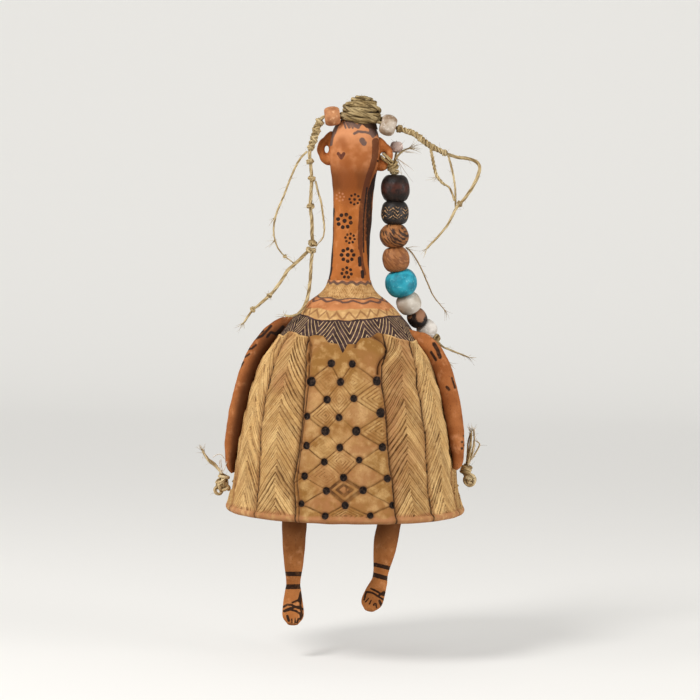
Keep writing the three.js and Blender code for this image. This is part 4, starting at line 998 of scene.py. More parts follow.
def head_skin():
    turns, along, flat, height = around(along_at(HEAD_START), LINE_ALONG[-1], HEAD_ROWS, HEAD_COLUMNS)
    facing = np.abs(turns) < SEEN_TURN
    across, down = np.moveaxis(to_photo(flat), -1, 0)

    def at(spot, places):
        return notch(places - spot[0], spot[1])

    level = ease(np.cos(np.radians(turns)), 0.35, 1.0) * ease(height, 183, 192) * (1 - ease(height, 209, 216))
    nose = at(NOSE_ACROSS, across) * at(NOSE_DOWN, down) * facing
    lift = 0.28 * rough(flat, 11, 61) + 0.12 * rough(flat, 4, 62)
    lift = lift - 0.35 * level + 0.5 * nose + 0.2 * level * at(BROW_RIDGE, down)
    lift = lift - 0.6 * (1 - ease(height, HEAD_START, COLLAR + 5))
    hair = (height - table(np.abs(turns), HAIR_LINE)) * 0.9 + 1.2 * rough(flat, 5, 63)
    hair = np.clip(hair + 0.6 * np.sin(np.radians(turns) * 46), FAR, 3)
    hair = np.maximum(hair, marks(flat, HAIR_STROKES, facing))
    from_back = np.radians(np.abs(turns) - 180) * radius_at(along)
    plait = PLAIT_HALF_WIDTH - np.abs(from_back + 0.8 * np.sin(height / 2.2))
    plait = np.where((height > COLLAR + 1) & (height < HAIR_LINE[-1][1] + 2) & ~facing, plait, FAR)
    skin = Skin()
    skin.add_grid(
        skin_points(turns, along, lift), wrap=True, hair=np.maximum(hair, plait),
        face=ease(height, CHIN - 3, CHIN + 9),
        shade=facing * at(CHIN_SHADE, down), light=facing * at(BROW_LIGHT, down),
        **{name: marks(flat, strokes, facing) for name, strokes in HEAD_STROKES.items()},
    )
    return skin


def head_material():
    finish = clay("painted_face", (149, 84, 33), (170, 99, 46), (190, 122, 72), 0.66)
    skin_tone = finish.mix(finish.patches(5, 5, 0.35, 0.7), (157, 92, 49), (186, 123, 80))
    finish.coat(finish.span(finish.attribute("face"), 0.0, 1.0, 0.0, 0.8), skin_tone)
    finish.coat(finish.span(finish.attribute("light"), 0.1, 1.0, 0.0, 0.55), (214, 150, 106))
    finish.coat(finish.span(finish.attribute("shade"), 0.0, 1.0, 0.0, 0.95), (106, 55, 19))
    # painted shade in the left eye's hollow and under the chin
    finish.coat(finish.span(finish.attribute("eye_and_chin_shade"), -2.2, 1.6, 0.0, 0.5), (136, 72, 30))
    finish.draw(
        ("brown", (76, 36, 16), 0.85, 0.25), ("faint", (188, 126, 92), 0.6, 0.2),
        ("heart", (86, 44, 34), 0.95, 0.12), ("hair", (92, 75, 70), 0.92, 0.2),
        ("black", (26, 18, 15), 0.97, 0.1),
    )
    return finish.done((finish.noise(0.45, 3), 0.07), (finish.noise(2.2, 3), 0.13))


add_piece("neck_and_head", head_skin(), head_material(), *BELL)

# Ears: lugs of clay, each pierced by a hole of its own

# Each ear's hole, by side: its place, then half its width and half its height
EAR_HOLES = {-1: (-14.1, 203.9, 1.2, 2.0), 1: (17.6, 201.0, 1.7, 1.7)}
EAR_EDGE = [
    (-180, 6), (-110, 9.3), (-90, 8.8), (-62, 7.1), (-42, 5.7), (0, 5.6), (21, 5.6), (73, 6.8), (88, 8.6),
    (103, 10.8), (120, 9.5), (180, 6),
]
EAR_HALF_DEPTH = 2.7
EAR_TURNS = 73
EAR_SECTION = 28


def ear_skin(side):
    hole_x, hole_height, half_width, half_height = EAR_HOLES[side]
    turn = np.linspace(-180, 180, EAR_TURNS)[:, None]
    section = full_turn(EAR_SECTION)[None, :]
    edge = table(turn, EAR_EDGE)
    angle = np.radians(turn)
    hole = half_width * half_height / np.hypot(half_height * np.cos(angle), half_width * np.sin(angle))
    reach = (edge + hole) / 2 + (edge - hole) / 2 * np.cos(section)
    depth = EAR_HALF_DEPTH * np.sign(np.sin(section)) * np.abs(np.sin(section)) ** 0.8
    points = stacked(hole_x + side * reach * np.cos(angle), depth, hole_height + reach * np.sin(angle))
    points = points + 0.28 * rough(points, 4, 41 + side)[..., None] * (0.6, 1.0, 0.6)
    skin = Skin()
    skin.add_grid(points if side < 0 else points[::-1], wrap=True)
    return skin


ear_clay = clay("ear_clay", (146, 80, 36), (176, 104, 54), (194, 126, 76), 0.72)
ear_finish = ear_clay.done((ear_clay.noise(0.45, 3), 0.07), (ear_clay.noise(2.2, 3), 0.14))
for ear_name, ear_side in (("left_ear", -1), ("right_ear", 1)):
    add_piece("clay_" + ear_name, ear_skin(ear_side), ear_finish, "doll", "terracotta", [ear_name])

# Limbs: closed tubes of clay whose girth changes along them

LIMB_SIDES = 44


def limb_material(name, deep, plain, pale, blur):
    """Porous clay with painted shade where it lies against the bell or under the rim, and black strokes whose
    edges are blurred over so many millimetres.
    """
    finish = clay(name, deep, plain, pale, 0.8)
    finish.coat(finish.patches(0.8, 3, 0.58, 0.7, 0.0, 0.5), shaded(deep, 0.7))
    # painted shade: darker brown on an arm's side that faces the bell, and on the legs near the rim
    finish.coat(finish.attribute("crease"), (84, 46, 22))
    finish.draw(("black", (26, 17, 13), 0.95, blur))
    return finish.done((finish.noise(0.5, 3), 0.06), (finish.noise(3.0, 3), 0.15))


ARM_GIRTH = [(0, 1.6), (0.07, 3.6), (0.16, 4.9), (0.6, 5.1), (0.84, 4.4), (0.95, 3.8), (1, 1.9)]
HAND_TIP = 20.6
ROOT_SINK = 2.6  # how far the top of an arm is pressed into the shoulder
ARM_STROKES = [
    (1.9, [(283, 327), (279.5, 331), (276, 334)]), (1.3, [(276, 334), (271, 332), (267, 337)]),
    (1.4, [(271, 326), (267.5, 330), (262, 336), (256, 338)]), (1.1, [(263, 331), (258, 334)]),
    (1.1, [(256, 345), (252, 348.5), (248, 349)]), (1.0, [(249.5, 354), (245, 357)]),
    (0.9, [(243.5, 362), (240.5, 367)]),
    (2.0, [(434, 344), (437.5, 350), (440, 357)]), (1.4, [(431, 352), (436, 360)]),
    (1.5, [(446.8, 387), (449, 389.5)]),
    (1.0, [(452, 378), (455, 388)]), (1.4, [(462, 442.1)]), (1.4, [(462, 448.4)]), (1.4, [(464.8, 445.3)]),
    (1.0, [(464, 436)]),
]
ARM_ROWS = 190
GIRTH_STEPS = 400
ARMS = {  # side, top, degrees to the front, sink, how far the hand is raised, and the depth and span of the painted shade on the side facing the bell
    "left_arm": (-1, 113, 0, 1.8, 0, 0.95, (-0.75, 0.3)),
    "right_arm": (1, 105, 14, 1.7, 6, 0.4, (0.0, 0.8)),
}


def arm_skin(side, top, forward, sink, rise, crease_depth, crease_span):
    """An arm that lies on the bell, from its shoulder to its hand, a little sunk into it."""
    turn = math.radians(forward)
    beside = np.array([side * math.cos(turn), -math.sin(turn), 0])
    share = np.linspace(0, 1, ARM_ROWS)
    girth_line = spline(ARM_GIRTH, GIRTH_STEPS)
    girth = np.interp(share, girth_line[:, 0], girth_line[:, 1])
    seat = along_at(top + (HAND_TIP + rise - top) * share)
    outward, upward = facing_at(seat)
    stand = girth - sink - ROOT_SINK * (1 - ease(share, 0.02, 0.2))
    reach = radius_at(seat) + outward * stand
    path = beside * reach[:, None] + np.outer(height_at(seat) + upward * stand, (0, 0, 1))
    deep = square_to(np.cross((0.0, 0.0, 1.0), beside), tangents(path))
    across = np.cross(deep, tangents(path))
    rings = tube(path, across, deep, full_turn(LIMB_SIDES), girth[:, None], girth[:, None])
    ends = [path[place, None, None, :].repeat(LIMB_SIDES, axis=1) for place in (0, -1)]
    points = np.concatenate([ends[0], rings, ends[1]])
    middle = np.concatenate([path[:1], path, path[-1:]])[:, None, :]
    flat_hand = ease(np.concatenate([[0], share, [1]]), 0.82, 0.92)[:, None, None]
    off = points - middle
    uneven = 0.05 * rough(points, 7, 44 + side) + 0.02 * rough(points, 2.5, 47)
    points = middle + off * (1 + uneven[..., None]) - 0.22 * flat_hand * (off @ beside)[..., None] * beside
    inward = -(off @ beside) / np.maximum(np.linalg.norm(off, axis=-1), 0.1)
    # painted shade on the side of the arm that faces the bell
    crease = crease_depth * ease(inward + 0.2 * rough(points, 6, 48), *crease_span)
    front = points[..., 1] < middle[..., 1] + 1.5
    skin = Skin()
    skin.add_grid(points, wrap=True, black=marks(points, ARM_STROKES, front), crease=crease)
    return skin


arm_clay = limb_material("arm_clay", (138, 78, 38), (166, 102, 56), (190, 128, 84), 0.36)
for arm_name, arm in ARMS.items():
    add_piece("clay_" + arm_name, arm_skin(*arm), arm_clay, "doll", "pale_terracotta", [arm_name])

# Legs

LEG_CORD_HEIGHT = 15.5
LEG_SPREAD = 28.5
LEG_STROKES = {
    "left_leg": [
        (1.13, [(298.6, 600), (301, 592), (300.4, 605), (302, 615), (300.5, 619)]),
        (1.03, [(292.5, 602.8), (297, 600.4), (300, 601.6)]),
        (1.13, [(283.5, 607), (287, 604.6), (292, 605.2), (297.5, 607.6), (303, 609)]),
        (1.13, [(283.8, 611), (288.5, 608.8), (294, 607.2), (299, 606.6)]),
        (1.13, [(284.4, 611.4), (290, 609.6), (296, 611), (300.4, 614), (301, 618)]),
        (1.38, [(287.2, 616), (288.8, 620.5)]), (0.70, [(291.7, 619), (291.9, 623)]),
        (0.78, [(295, 618.4), (295.2, 624)]),
        (0.86, [(298.4, 618.6), (297.2, 622.6)]),
    ],
    "right_leg": [
        (1.03, [(371, 588.5), (377, 591.4), (383, 595.2), (386, 595)]), (0.95, [(364.6, 597), (366, 592.6)]),
        (1.03, [(366.4, 591.8), (372, 592.6), (378.5, 596.6), (384, 600)]),
        (1.13, [(378, 596), (384, 592), (386, 596), (385.2, 602)]), (1.38, [(379.6, 601), (381.8, 606.2)]),
        (0.78, [(365.6, 602), (368.4, 598.6)]), (0.78, [(369.4, 604), (371, 600.4)]),
        (0.70, [(373.6, 605.4), (374.2, 602)]),
        (0.78, [(376.6, 607.6), (376, 603.6)]), (0.86, [(364, 600), (365.4, 596.4)]),
    ],
}
LEG_ROWS = 170
LEG_SHADE_STRENGTH = 0.8
LEG_SHADED = (-34, -2)  # the heights between which the painted shade under the rim grows
LEFT_BANDS = [((285, 573.9), (303, 573.9), 2.3), ((287, 586.8), (301, 586.5), 2.5)]
RIGHT_BANDS = [((375.9, 564.7), (391.7, 568.8), 2.1), ((374.4, 574.9), (389.2, 579), 2.4)]
LEGS = {  # side, lean, drop to the ankle, the foot's length, pitch and turn, and the bands round the shin
    "left_leg": (-1, 0, 59.3, 23, 58, 2, LEFT_BANDS),
    "right_leg": (1, 8.5, 54.6, 21.5, 50, -14, RIGHT_BANDS),
}


def hung_plumb(points, faces):
    """Turns points about the X axis until their closed skin balances under the cord."""
    a, b, c = (points[faces[:, corner]] for corner in range(3))
    share = np.einsum("ij,ij->i", a, np.cross(b, c))
    middle = ((a + b + c) / 4 * share[:, None]).sum(axis=0) / share.sum()
    turn = math.atan2(middle[1], -middle[2])
    swing = np.array([[1, 0, 0], [0, math.cos(turn), -math.sin(turn)], [0, math.sin(turn), math.cos(turn)]])
    return points @ swing.T


def closed_tube(points, start, end):
    """The points and triangles of a tube of rings whose ends are closed by two more points."""
    rows, columns = points.shape[:2]
    ring = np.arange(columns)
    after = (ring + 1) % columns
    quads = grid_faces(rows, columns, wrap=True)
    first = np.stack([np.full(columns, rows * columns), after, ring], axis=1)
    last_ring = (rows - 1) * columns
    last = np.stack([np.full(columns, rows * columns + 1), last_ring + ring, last_ring + after], axis=1)
    triangles = np.concatenate([quads[:, [0, 1, 2]], quads[:, [0, 2, 3]], first, last])
    return np.concatenate([points.reshape(-1, 3), [start], [end]]), triangles


def leg_stations(ankle_drop, ahead, foot_length):
    """Places down a leg and along its foot, with half the width and half the depth at each."""
    ankle = np.array([0, 0, -ankle_drop])
    slim = max(47.0, ankle_drop - 4.3)
    return spline([
        (0, 0, 6, 2.5, 2.5), (0, 0, 3, 5, 5), (0, 0, -8, 6.4, 6.4), (0, 0, -33, 6.75, 6.75),
        (0, 0, -slim, 4.3, 4.3), (0, 0, -ankle_drop - 1.67, 4.5, 4.8),
        (*(ankle + ahead * foot_length * 0.45), 5.7, 3.7), (*(ankle + ahead * foot_length * 0.8), 5.9, 3.0),
        (*(ankle + ahead * foot_length), 2.95, 1.8),
    ], LEG_ROWS)


def leg_skin(name, side, lean, ankle_drop, foot_length, foot_pitch, foot_turn, bands):
    pitch = math.radians(foot_pitch)
    turn = math.radians(foot_turn)
    ahead = np.array([math.sin(turn) * math.cos(pitch), -math.cos(turn) * math.cos(pitch), -math.sin(pitch)])
    stations = leg_stations(ankle_drop, ahead, foot_length)
    path = stations[:, :3]
    spread = np.linspace(0, turn, len(path))
    across = square_to(np.stack([np.cos(spread), np.sin(spread), 0 * spread], axis=1), tangents(path))
    deep = np.cross(tangents(path), across)
    points = tube(path, across, deep, full_turn(LIMB_SIDES), stations[:, 3:4], stations[:, 4:5])
    points = points + 0.05 * rough(points, 8, 65 + side)[..., None] * (points - path[:, None, :])
    tilt = tipped(math.radians(side * lean)).T
    flat, triangles = closed_tube(points @ tilt, path[0] @ tilt, path[-1] @ tilt)
    flat = hung_plumb(flat, triangles) + (side * LEG_SPREAD, 0, LEG_CORD_HEIGHT)
    black = marks(flat, LEG_STROKES[name], flat[:, 1] < flat[:, 1].mean() + 3)
    places = to_photo(flat)
    for left, right, half in bands:
        level = np.interp(places[:, 0], (left[0], right[0]), (left[1], right[1]))
        black = np.maximum(black, (half - np.abs(places[:, 1] - level)) * PIXEL)
    skin = Skin()
    # painted shade: the legs darken towards the rim, under the bell
    skin.add(flat, triangles, black=black, crease=LEG_SHADE_STRENGTH * ease(flat[:, 2], *LEG_SHADED))
    return skin


leg_clay = limb_material("leg_clay", (150, 90, 44), (177, 113, 62), (202, 140, 90), 0.12)
for leg_name, leg in LEGS.items():
    add_piece("clay_" + leg_name, leg_skin(leg_name, *leg), leg_clay, leg_name, "dark_terracotta", [leg_name])

# Beads

BEAD_BORE = 3.2
BEAD_FLAT = 6.4
BEAD_ROWS = 40
BEAD_SIDES = 64
GRAIN_SLANT = (0.5, 0.75, 0.0)
CARVED_TEETH = 9
CARVED_LINES = 6.5


def bead_skin(centre, axis, diameter, length, fullness, seed):
    """A bored bead, a little uneven, with its height along the bore and its turn kept for its finish."""
    side = unit(np.cross(axis, (0.3, 0.9, 0.1)))
    deep = np.cross(axis, side)
    turn = np.linspace(0, math.pi, BEAD_ROWS)
    end = min(BEAD_FLAT, diameter - 3.8) / 2
    radius = end + (diameter / 2 - end) * np.sin(turn) ** fullness
    height = -np.cos(turn) * length / 2
    bore = BEAD_BORE / 2
    radius = np.concatenate([[bore, bore], radius, [bore, bore]])[:, None]
    height = np.concatenate([[0, -length / 2 + 0.3], height, [length / 2 - 0.3, 0]])[:, None]
    turns = full_turn(BEAD_SIDES)
    out = np.cos(turns)[:, None] * side + np.sin(turns)[:, None] * deep
    points = centre + radius[..., None] * out + height[..., None] * axis
    bulge = 0.035 * rough(points, 8, seed) + 0.018 * rough(points, 2.2, seed + 1)
    points = points + ((radius > bore + 0.1) * bulge * radius)[..., None] * out
    skin = Skin()
    skin.add_grid(points, wrap=True, rise=height / length, round=turns, bore=radius - bore)
    return skin


def bead_material(name, deep, plain, pale, roughness, grain=None, worn=None, middle=None):
    """Wood, stone or clay: three colours, with slanting grain, worn patches or a painted sheen: a lighter
    belt round the middle.
    """
    finish = Finish(name, deep, roughness, 0.22)
    finish.coat(finish.patches(5, 5, 0.35, 0.68), plain)
    finish.coat(finish.patches(1.8, 5, 0.56, 0.75, 0.0, 0.8), pale)
    # painted sheen: a lighter, redder belt round the bead's middle
    if middle:
        belt = finish.span(finish.math("ABSOLUTE", finish.attribute("rise")), 0.05, 0.3, 0.8, 0.0)
        finish.coat(finish.times(belt, finish.patches(3.0, 4, 0.35, 0.6, 0.2, 1.0)), middle)
    if grain:
        stripes = finish.noise(2.0, 6, (0.4, 0.4, 2.2), GRAIN_SLANT)
        finish.coat(finish.span(stripes, 0.47, 0.56, 0.0, 0.92), grain)
    if worn:
        finish.coat(finish.patches(6.5, 4, 0.53, 0.6), worn)
    # painted shade: dark inside the bore, fading over its mouth
    finish.coat(finish.span(finish.attribute("bore"), 0.0, 1.3, 0.85, 0.0), (38, 26, 18))
    gloss = finish.patches(2.5, 4, 0.3, 0.7, roughness - 0.08, roughness + 0.2)
    finish.links.new(gloss, finish.shader.inputs["Roughness"])
    return finish.done((finish.noise(0.6, 4), 0.12), (finish.noise(2.2, 4), 0.2))


def carved_material():
    """Dark wood with a belt of zigzag cuts."""
    finish = Finish("carved_bead_finish", (16, 12, 10), 0.55, 0.35)

    def off_middle(value):
        return finish.math("ABSOLUTE", finish.math("SUBTRACT", finish.math("FRACT", value), 0.5))

    finish.coat(finish.patches(3, 5, 0.4, 0.7), (38, 28, 21))
    rise = finish.attribute("rise")
    tooth = off_middle(finish.times(finish.attribute("round"), CARVED_TEETH / (2 * math.pi)))
    level = finish.math("ADD", rise, finish.times(tooth, 0.34))
    sway = finish.times(finish.math("SUBTRACT", finish.noise(3.2), 0.5), 0.2)
    line_gap = off_middle(finish.times(finish.math("ADD", level, sway), CARVED_LINES))
    belt = finish.span(finish.math("ABSOLUTE", rise), 0.16, 0.3, 1.0, 0.0)
    cut = finish.times(finish.span(line_gap, 0.07, 0.2, 1.0, 0.0), belt)
    cut = finish.times(cut, finish.patches(1.6, 3, 0.42, 0.56))
    finish.coat(cut, (192, 148, 104))
    return finish.done((finish.math("SUBTRACT", 1.0, cut), 0.25), (finish.noise(0.7, 4), 0.14))


BEADS = [  # node, slot, diameter, length, fullness and finish
    # the charred bead's reddish belt is a painted sheen
    ("charred_bead", "charred_wood_bead", 16.4, 15.2, 0.9, bead_material(
        "charred_finish", (17, 12, 10), (34, 24, 19), (58, 40, 32), 0.42, middle=(72, 35, 24))),
    ("carved_bead", "carved_wood_bead", 15.4, 13.2, 0.82, carved_material()),
    ("streaked_bead", "streaked_wood_bead", 16.6, 13.2, 1.2, bead_material(
        "streaked_finish", (128, 80, 44), (158, 104, 60), (178, 124, 78), 0.5, grain=(34, 21, 14))),
    ("tan_bead", "tan_wood_bead", 15.2, 13.5, 0.9, bead_material(
        "tan_finish", (136, 86, 48), (162, 108, 66), (180, 126, 82), 0.5, grain=(122, 74, 42))),
    ("turquoise_bead", "turquoise_bead", 18.2, 14.6, 0.9, bead_material(
        "turquoise_finish", (24, 112, 130), (46, 156, 176), (104, 190, 200), 0.45)),
    ("grey_bead", "grey_stone_bead", 13.8, 11.1, 0.9, bead_material(
        "grey_finish", (176, 164, 148), (200, 192, 180), (220, 214, 204), 0.62)),
    ("dark_bead", "dark_wood_bead", 11, 9.1, 0.9, bead_material(
        "dark_finish", (20, 15, 13), (40, 30, 25), (70, 50, 40), 0.5, worn=(150, 108, 80))),
    ("white_bead", "white_stone_bead", 11, 9.1, 0.9, bead_material(
        "white_finish", (190, 182, 172), (222, 216, 208), (236, 232, 226), 0.6)),
    ("left_temple_bead", "tan_clay_bead", 11, 8.6, 0.8, bead_material(
        "temple_tan_finish", (150, 94, 58), (184, 128, 86), (216, 168, 126), 0.66)),
    ("right_temple_bead", "grey_stone_bead", 12.0, 8.6, 0.9, bead_material(
        "temple_grey_finish", (136, 112, 88), (190, 176, 160), (222, 211, 200), 0.75)),
    ("ear_bead", "pink_stone_bead", 7.2, 6, 0.9, bead_material(
        "ear_bead_finish", (206, 176, 162), (226, 204, 194), (238, 222, 214), 0.6)),
]
STRAND_COUNT = 8


def centre_of(node):
    """The middle of a node's box, in millimetres above the rim."""
    low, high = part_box(node)
    return (np.array(low + high) / 2 - (0, 0, RIM_LEVEL)) / MM


JOINTS = frame["record"]["behaviour"]["joints"]
SPIN_AXES = {joint["child"]: unit(joint["axis"]) for joint in JOINTS}
bead_places = {}
for seed, (bead_name, bead_slot, bead_width, bead_length, fullness, bead_finish) in enumerate(BEADS):
    axis = SPIN_AXES[bead_name] * (1 if SPIN_AXES[bead_name][2] > 0 else -1)
    centre = centre_of(bead_name)
    bead_places[bead_name] = (centre, axis, bead_length)
    bead = bead_skin(centre, axis, bead_width, bead_length, fullness, 100 + 5 * seed)
    add_piece("dressed_" + bead_name, bead, bead_finish, bead_name, bead_slot, [bead_name])

# Twine: raffia in three shallow plies


def twine_material(name, deep, plain, pale):
    finish = Finish(name, plain, 0.9, 0.15)
    streak = finish.attribute("streak")
    finish.coat(finish.patches(7, 4, 0.35, 0.68), pale)
    finish.coat(finish.span(streak, -0.15, 0.5, 0.0, 0.75), deep)
    finish.coat(finish.span(streak, -0.5, -0.15, 0.6, 0.0), pale)
    # painted shade in the valleys between the plies
    finish.coat(finish.span(finish.attribute("valley"), 0.35, 1.0, 0.0, 0.8), shaded(deep, 0.6))
    return finish.done((finish.noise(0.3, 2), 0.1), (finish.noise(1.1, 3), 0.14))


pale_twine = twine_material("pale_twine", (100, 77, 45), (160, 134, 91), (198, 177, 135))
dark_twine = twine_material("dark_twine", (92, 70, 44), (138, 110, 72), (168, 142, 100))
rope_twine = twine_material("rope_twine", (68, 51, 28), (132, 109, 70), (180, 158, 116))
knot_twine = twine_material("knot_twine", (108, 84, 50), (176, 148, 104), (214, 192, 150))
white_twine = twine_material("white_twine", (170, 150, 128), (214, 200, 182), (234, 224, 210))

PLY_VALLEY = 0.22
LAY = 9.0  # diameters in a full turn of the plies
TWINE = 2.0
THIN = 1.2
STRAY = 0.8
FINE = 0.5
TWINE_STEP = 0.36
FIBRE_ROWS = 9
FIBRE_SIDES = 5
FIBRE_CURL = 0.35
FUZZ_RADIUS = 0.09
WRAP_STEPS = 30  # in a turn
PLAIT_PITCH = 7.0


def carried_frames(path):
    """Directions square to a path that don't twist along it."""
    tangent = tangents(path)
    side = [unit(np.cross(tangent[0], (0.21, 0.33, 0.92)))]
    for step in tangent[1:]:
        side.append(square_to(side[-1], step))
    side = np.array(side)
    return side, np.cross(tangent, side)


def add_twine(skin, path, diameter, seed, taper=0.0, sides=15, slack=0.12):
    """A twisted tube along a path, with an uneven thickness and closed ends."""
    along = run_length(path)
    side, deep = carried_frames(path)
    uneven = 1 + 0.1 * rough(path, 3.5, seed) + 0.05 * rough(path, 1.2, seed + 1)
    sway = side * rough(path, 4, seed + 2)[:, None] + deep * rough(path, 4, seed + 3)[:, None]
    path = path + slack * diameter * 0.5 * sway
    closing = np.minimum(1, np.minimum(along, along[-1] - along) / (0.4 * diameter) + 0.12)
    thin = 1 - taper * ease(along / along[-1], 0.55, 1.0)
    turns = full_turn(sides)[None, :]
    lay = turns - (2 * math.pi * along / (LAY * diameter))[:, None] - seed
    ply = 1 - PLY_VALLEY + PLY_VALLEY * np.abs(np.cos(1.5 * lay)) ** 0.6
    reach = (diameter / 2 * uneven * closing * thin)[:, None] * ply
    points = tube(path, side, deep, turns, reach, reach)
    fibre_key = stacked(2.4 * np.cos(lay), 2.4 * np.sin(lay), along[:, None] / 5 + seed)
    skin.add_grid(points, wrap=True, valley=(1 - ply) / PLY_VALLEY, streak=rough(fibre_key, 1.0, seed + 4))


def add_fibres(skin, starts, headings, lengths, radius, seed):
    """Fine loose fibres that leave at starts, each along its heading, and curl."""
    at = np.linspace(0, 1, FIBRE_ROWS)[:, None]
    reach = radius * (1 - 0.8 * at)
    for index, (start, heading, length) in enumerate(zip(starts, unit(headings), lengths)):
        luck = chance(6, seed * 131 + index) - 0.5
        bend = unit(np.cross(heading, luck[:3] + (0.01, 0.02, 0.03)))
        twist = 0.5 * luck[3] * at ** 3 * np.cross(heading, bend)
        path = start + length * (at * heading + FIBRE_CURL * (at ** 2 * bend + twist))
        side, deep = carried_frames(path)
        points = tube(path, side, deep, full_turn(FIBRE_SIDES), reach, reach)
        skin.add_grid(points, wrap=True, valley=0.0, streak=luck[4])


def fuzz(skin, path, diameter, every, seed, length=3.5):
    """Stray fibres along a cord."""
    along = run_length(path)
    count = max(2, int(along[-1] / every))
    luck = chance(count * 8, seed).reshape(count, 8)
    at = np.clip((np.arange(count) + luck[:, 0]) / count, 0.02, 0.98) * along[-1]
    where = read_off(at, along, path)
    ahead = read_off(at, along, tangents(path))
    out = square_to(luck[:, 1:4] - 0.5, ahead)
    forward = np.where(luck[:, 4:5] > 0.3, 1.0, -1.0) * ahead
    headings = out + forward * (0.6 + luck[:, 5:6])
    add_fibres(skin, where + out * diameter * 0.3, headings, length * (0.4 + luck[:, 6]), FUZZ_RADIUS, seed)


def tuft(skin, tip, heading, count, length, spread, seed, radius=0.14):
    """A frayed end: fibres that fan out."""
    luck = chance(count * 4, seed).reshape(count, 4)
    heading = unit(heading)
    aims = heading + spread * (luck[:, :3] - 0.5) * 2
    starts = np.tile(tip, (count, 1)) - heading * 0.8
    add_fibres(skin, starts, aims, length * (0.45 + 0.75 * luck[:, 3]), radius, seed)


def add_wrap(skin, centre, axis, radius, turns, diameter, seed, pitch, tilt=0.25):
    """A few turns of twine round an axis, as in a knot."""
    axis = unit(unit(axis) + tilt * (chance(3, seed) - 0.5))
    side = unit(np.cross(axis, (0.31, 0.27, 0.53)))
    deep = np.cross(axis, side)
    count = int(turns * WRAP_STEPS)
    angle = (np.linspace(0, 2 * math.pi * turns, count) + seed)[:, None]
    rise = (np.linspace(0, 1, count) - 0.5)[:, None] * turns * pitch
    path = centre + radius * (np.cos(angle) * side + np.sin(angle) * deep) + rise * axis
    add_twine(skin, path, diameter, seed, sides=12, slack=0.1)


def add_plait(skin, path, start, end, radius, diameter, seed):
    """Three strands that wind round a stretch of a path."""
    last = len(path) - 1
    stretch = path[int(start * last):int(end * last) + 1]
    side, deep = carried_frames(stretch)
    along = run_length(stretch)
    reach = radius * np.sin(np.linspace(0.25, math.pi - 0.25, len(stretch)))[:, None] ** 0.3
    for step in range(3):
        angle = (2 * math.pi * (along / PLAIT_PITCH + step / 3) + seed)[:, None]
        out = np.cos(angle) * side + np.sin(angle) * deep
        add_twine(skin, stretch + reach * out, diameter, seed + 31 * step, slack=0.2)


def add_knot(skin, centre, heading, radius, turns, diameter, seed):
    """Windings round a cord, one more across them, and a few loose fibres."""
    add_wrap(skin, centre, heading, radius, turns, diameter * 0.8, seed, 0.55 * diameter, tilt=0.9)
    over = unit(heading) + 1.2 * unit(np.cross(heading, chance(3, seed + 5) - 0.5))
    add_wrap(skin, centre, over, 0.85 * radius, 1.2, diameter * 0.8, seed + 3, 0.4 * diameter)
    ends = chance(6, seed + 9) - 0.5
    tuft(skin, centre + radius * ends[:3], ends[3:], 4, 4.0, 0.5, seed + 19)


def add_tail(skin, path, diameter, seed, count, length, spread=0.45):
    """A loose end that frays."""
    add_twine(skin, path, diameter, seed, taper=0.3)
    fuzz(skin, path, diameter, 2.0, seed + 5)
    tuft(skin, path[-1], path[-1] - path[-8], count, length, spread, seed + 10)


# Cords: routes from the crown and from the top of the strand, as the solids have them

CROWN = 222.5
LEFT_HAIR = [
    (-1.6, -7.6, -1), (-4.2, -6.7, 0), (-6.4, -6.5, 0.4), (-11.3, -6.6, -0.2), (-16.4, -6.7, -0.8),
    (-19.4, -6.4, -5.5), (-20.8, -6, -11), (-23.5, -5, -19.9), (-23.1, -5, -26.5), (-22.3, -5, -35),
    (-22.4, -5, -43), (-22.6, -5, -51), (-21.7, -5, -58.5), (-21.4, -5, -66.5), (-20.9, -5, -72.9),
]
LEFT_TAIL = [
    (-22.7, -5.3, -74.9), (-28.6, -6, -81.2), (-34.6, -7, -86.8), (-38.6, -7.3, -93.5), (-43.4, -8, -99.7),
    (-50, -8, -106), (-54, -8, -109.5), (-58.8, -8, -116.7),
]
LEFT_DROP = [
    (-21, -5, -75.1), (-21.6, -5, -81.5), (-21.8, -5.6, -88.5), (-22.3, -7.2, -95.7), (-23.3, -9.6, -101.9),
    (-25, -13.4, -106.5), (-27.4, -16.8, -109.9), (-30, -17, -111.5), (-33.2, -14.6, -112.1),
    (-35.6, -10.8, -111.9),
]
LEFT_SIDE = [
    (-20, -5.2, -36.3), (-18.6, -5.5, -42.2), (-16.6, -6, -48.5), (-15.5, -6, -55.7), (-14.6, -6.2, -62.5),
    (-15.2, -6.4, -67.9), (-17.6, -6.4, -71.1),
]
LEFT_LOOP = [
    (-24.9, -5, -19.9), (-29.1, -5.5, -24.6), (-33.4, -6.5, -33.6), (-37.7, -7.5, -45.3), (-41.7, -8, -55.5),
    (-42.9, -8, -65), (-41.1, -8, -73), (-37.2, -7.6, -78.3), (-32.4, -6.9, -81.9),
]
RIGHT_HAIR = [
    (13.3, -6.4, -2.6), (15.2, -6.3, -3.2), (20, -6, -4.6), (24.8, -5.7, -6), (29, -7.6, -7.2),
    (34.8, -9.6, -9.2), (42.8, -11.6, -15.1), (49.6, -11.6, -18.5), (58.1, -11.6, -21.6),
    (66.5, -11.6, -22.8), (71.2, -11.6, -25.9), (70.4, -11.6, -32.3), (65.5, -11.6, -42),
    (58.9, -11.6, -50.2), (53.2, -11.6, -61.2), (42.7, -11.6, -73.1),
]
RIGHT_MIDDLE = [
    (53.7, -11.6, -20.2), (54.2, -11.6, -22.1), (56.2, -11.6, -28.9), (58, -11.6, -38.3),
    (58.5, -11.6, -48.3), (58.7, -11.6, -50.6),
]
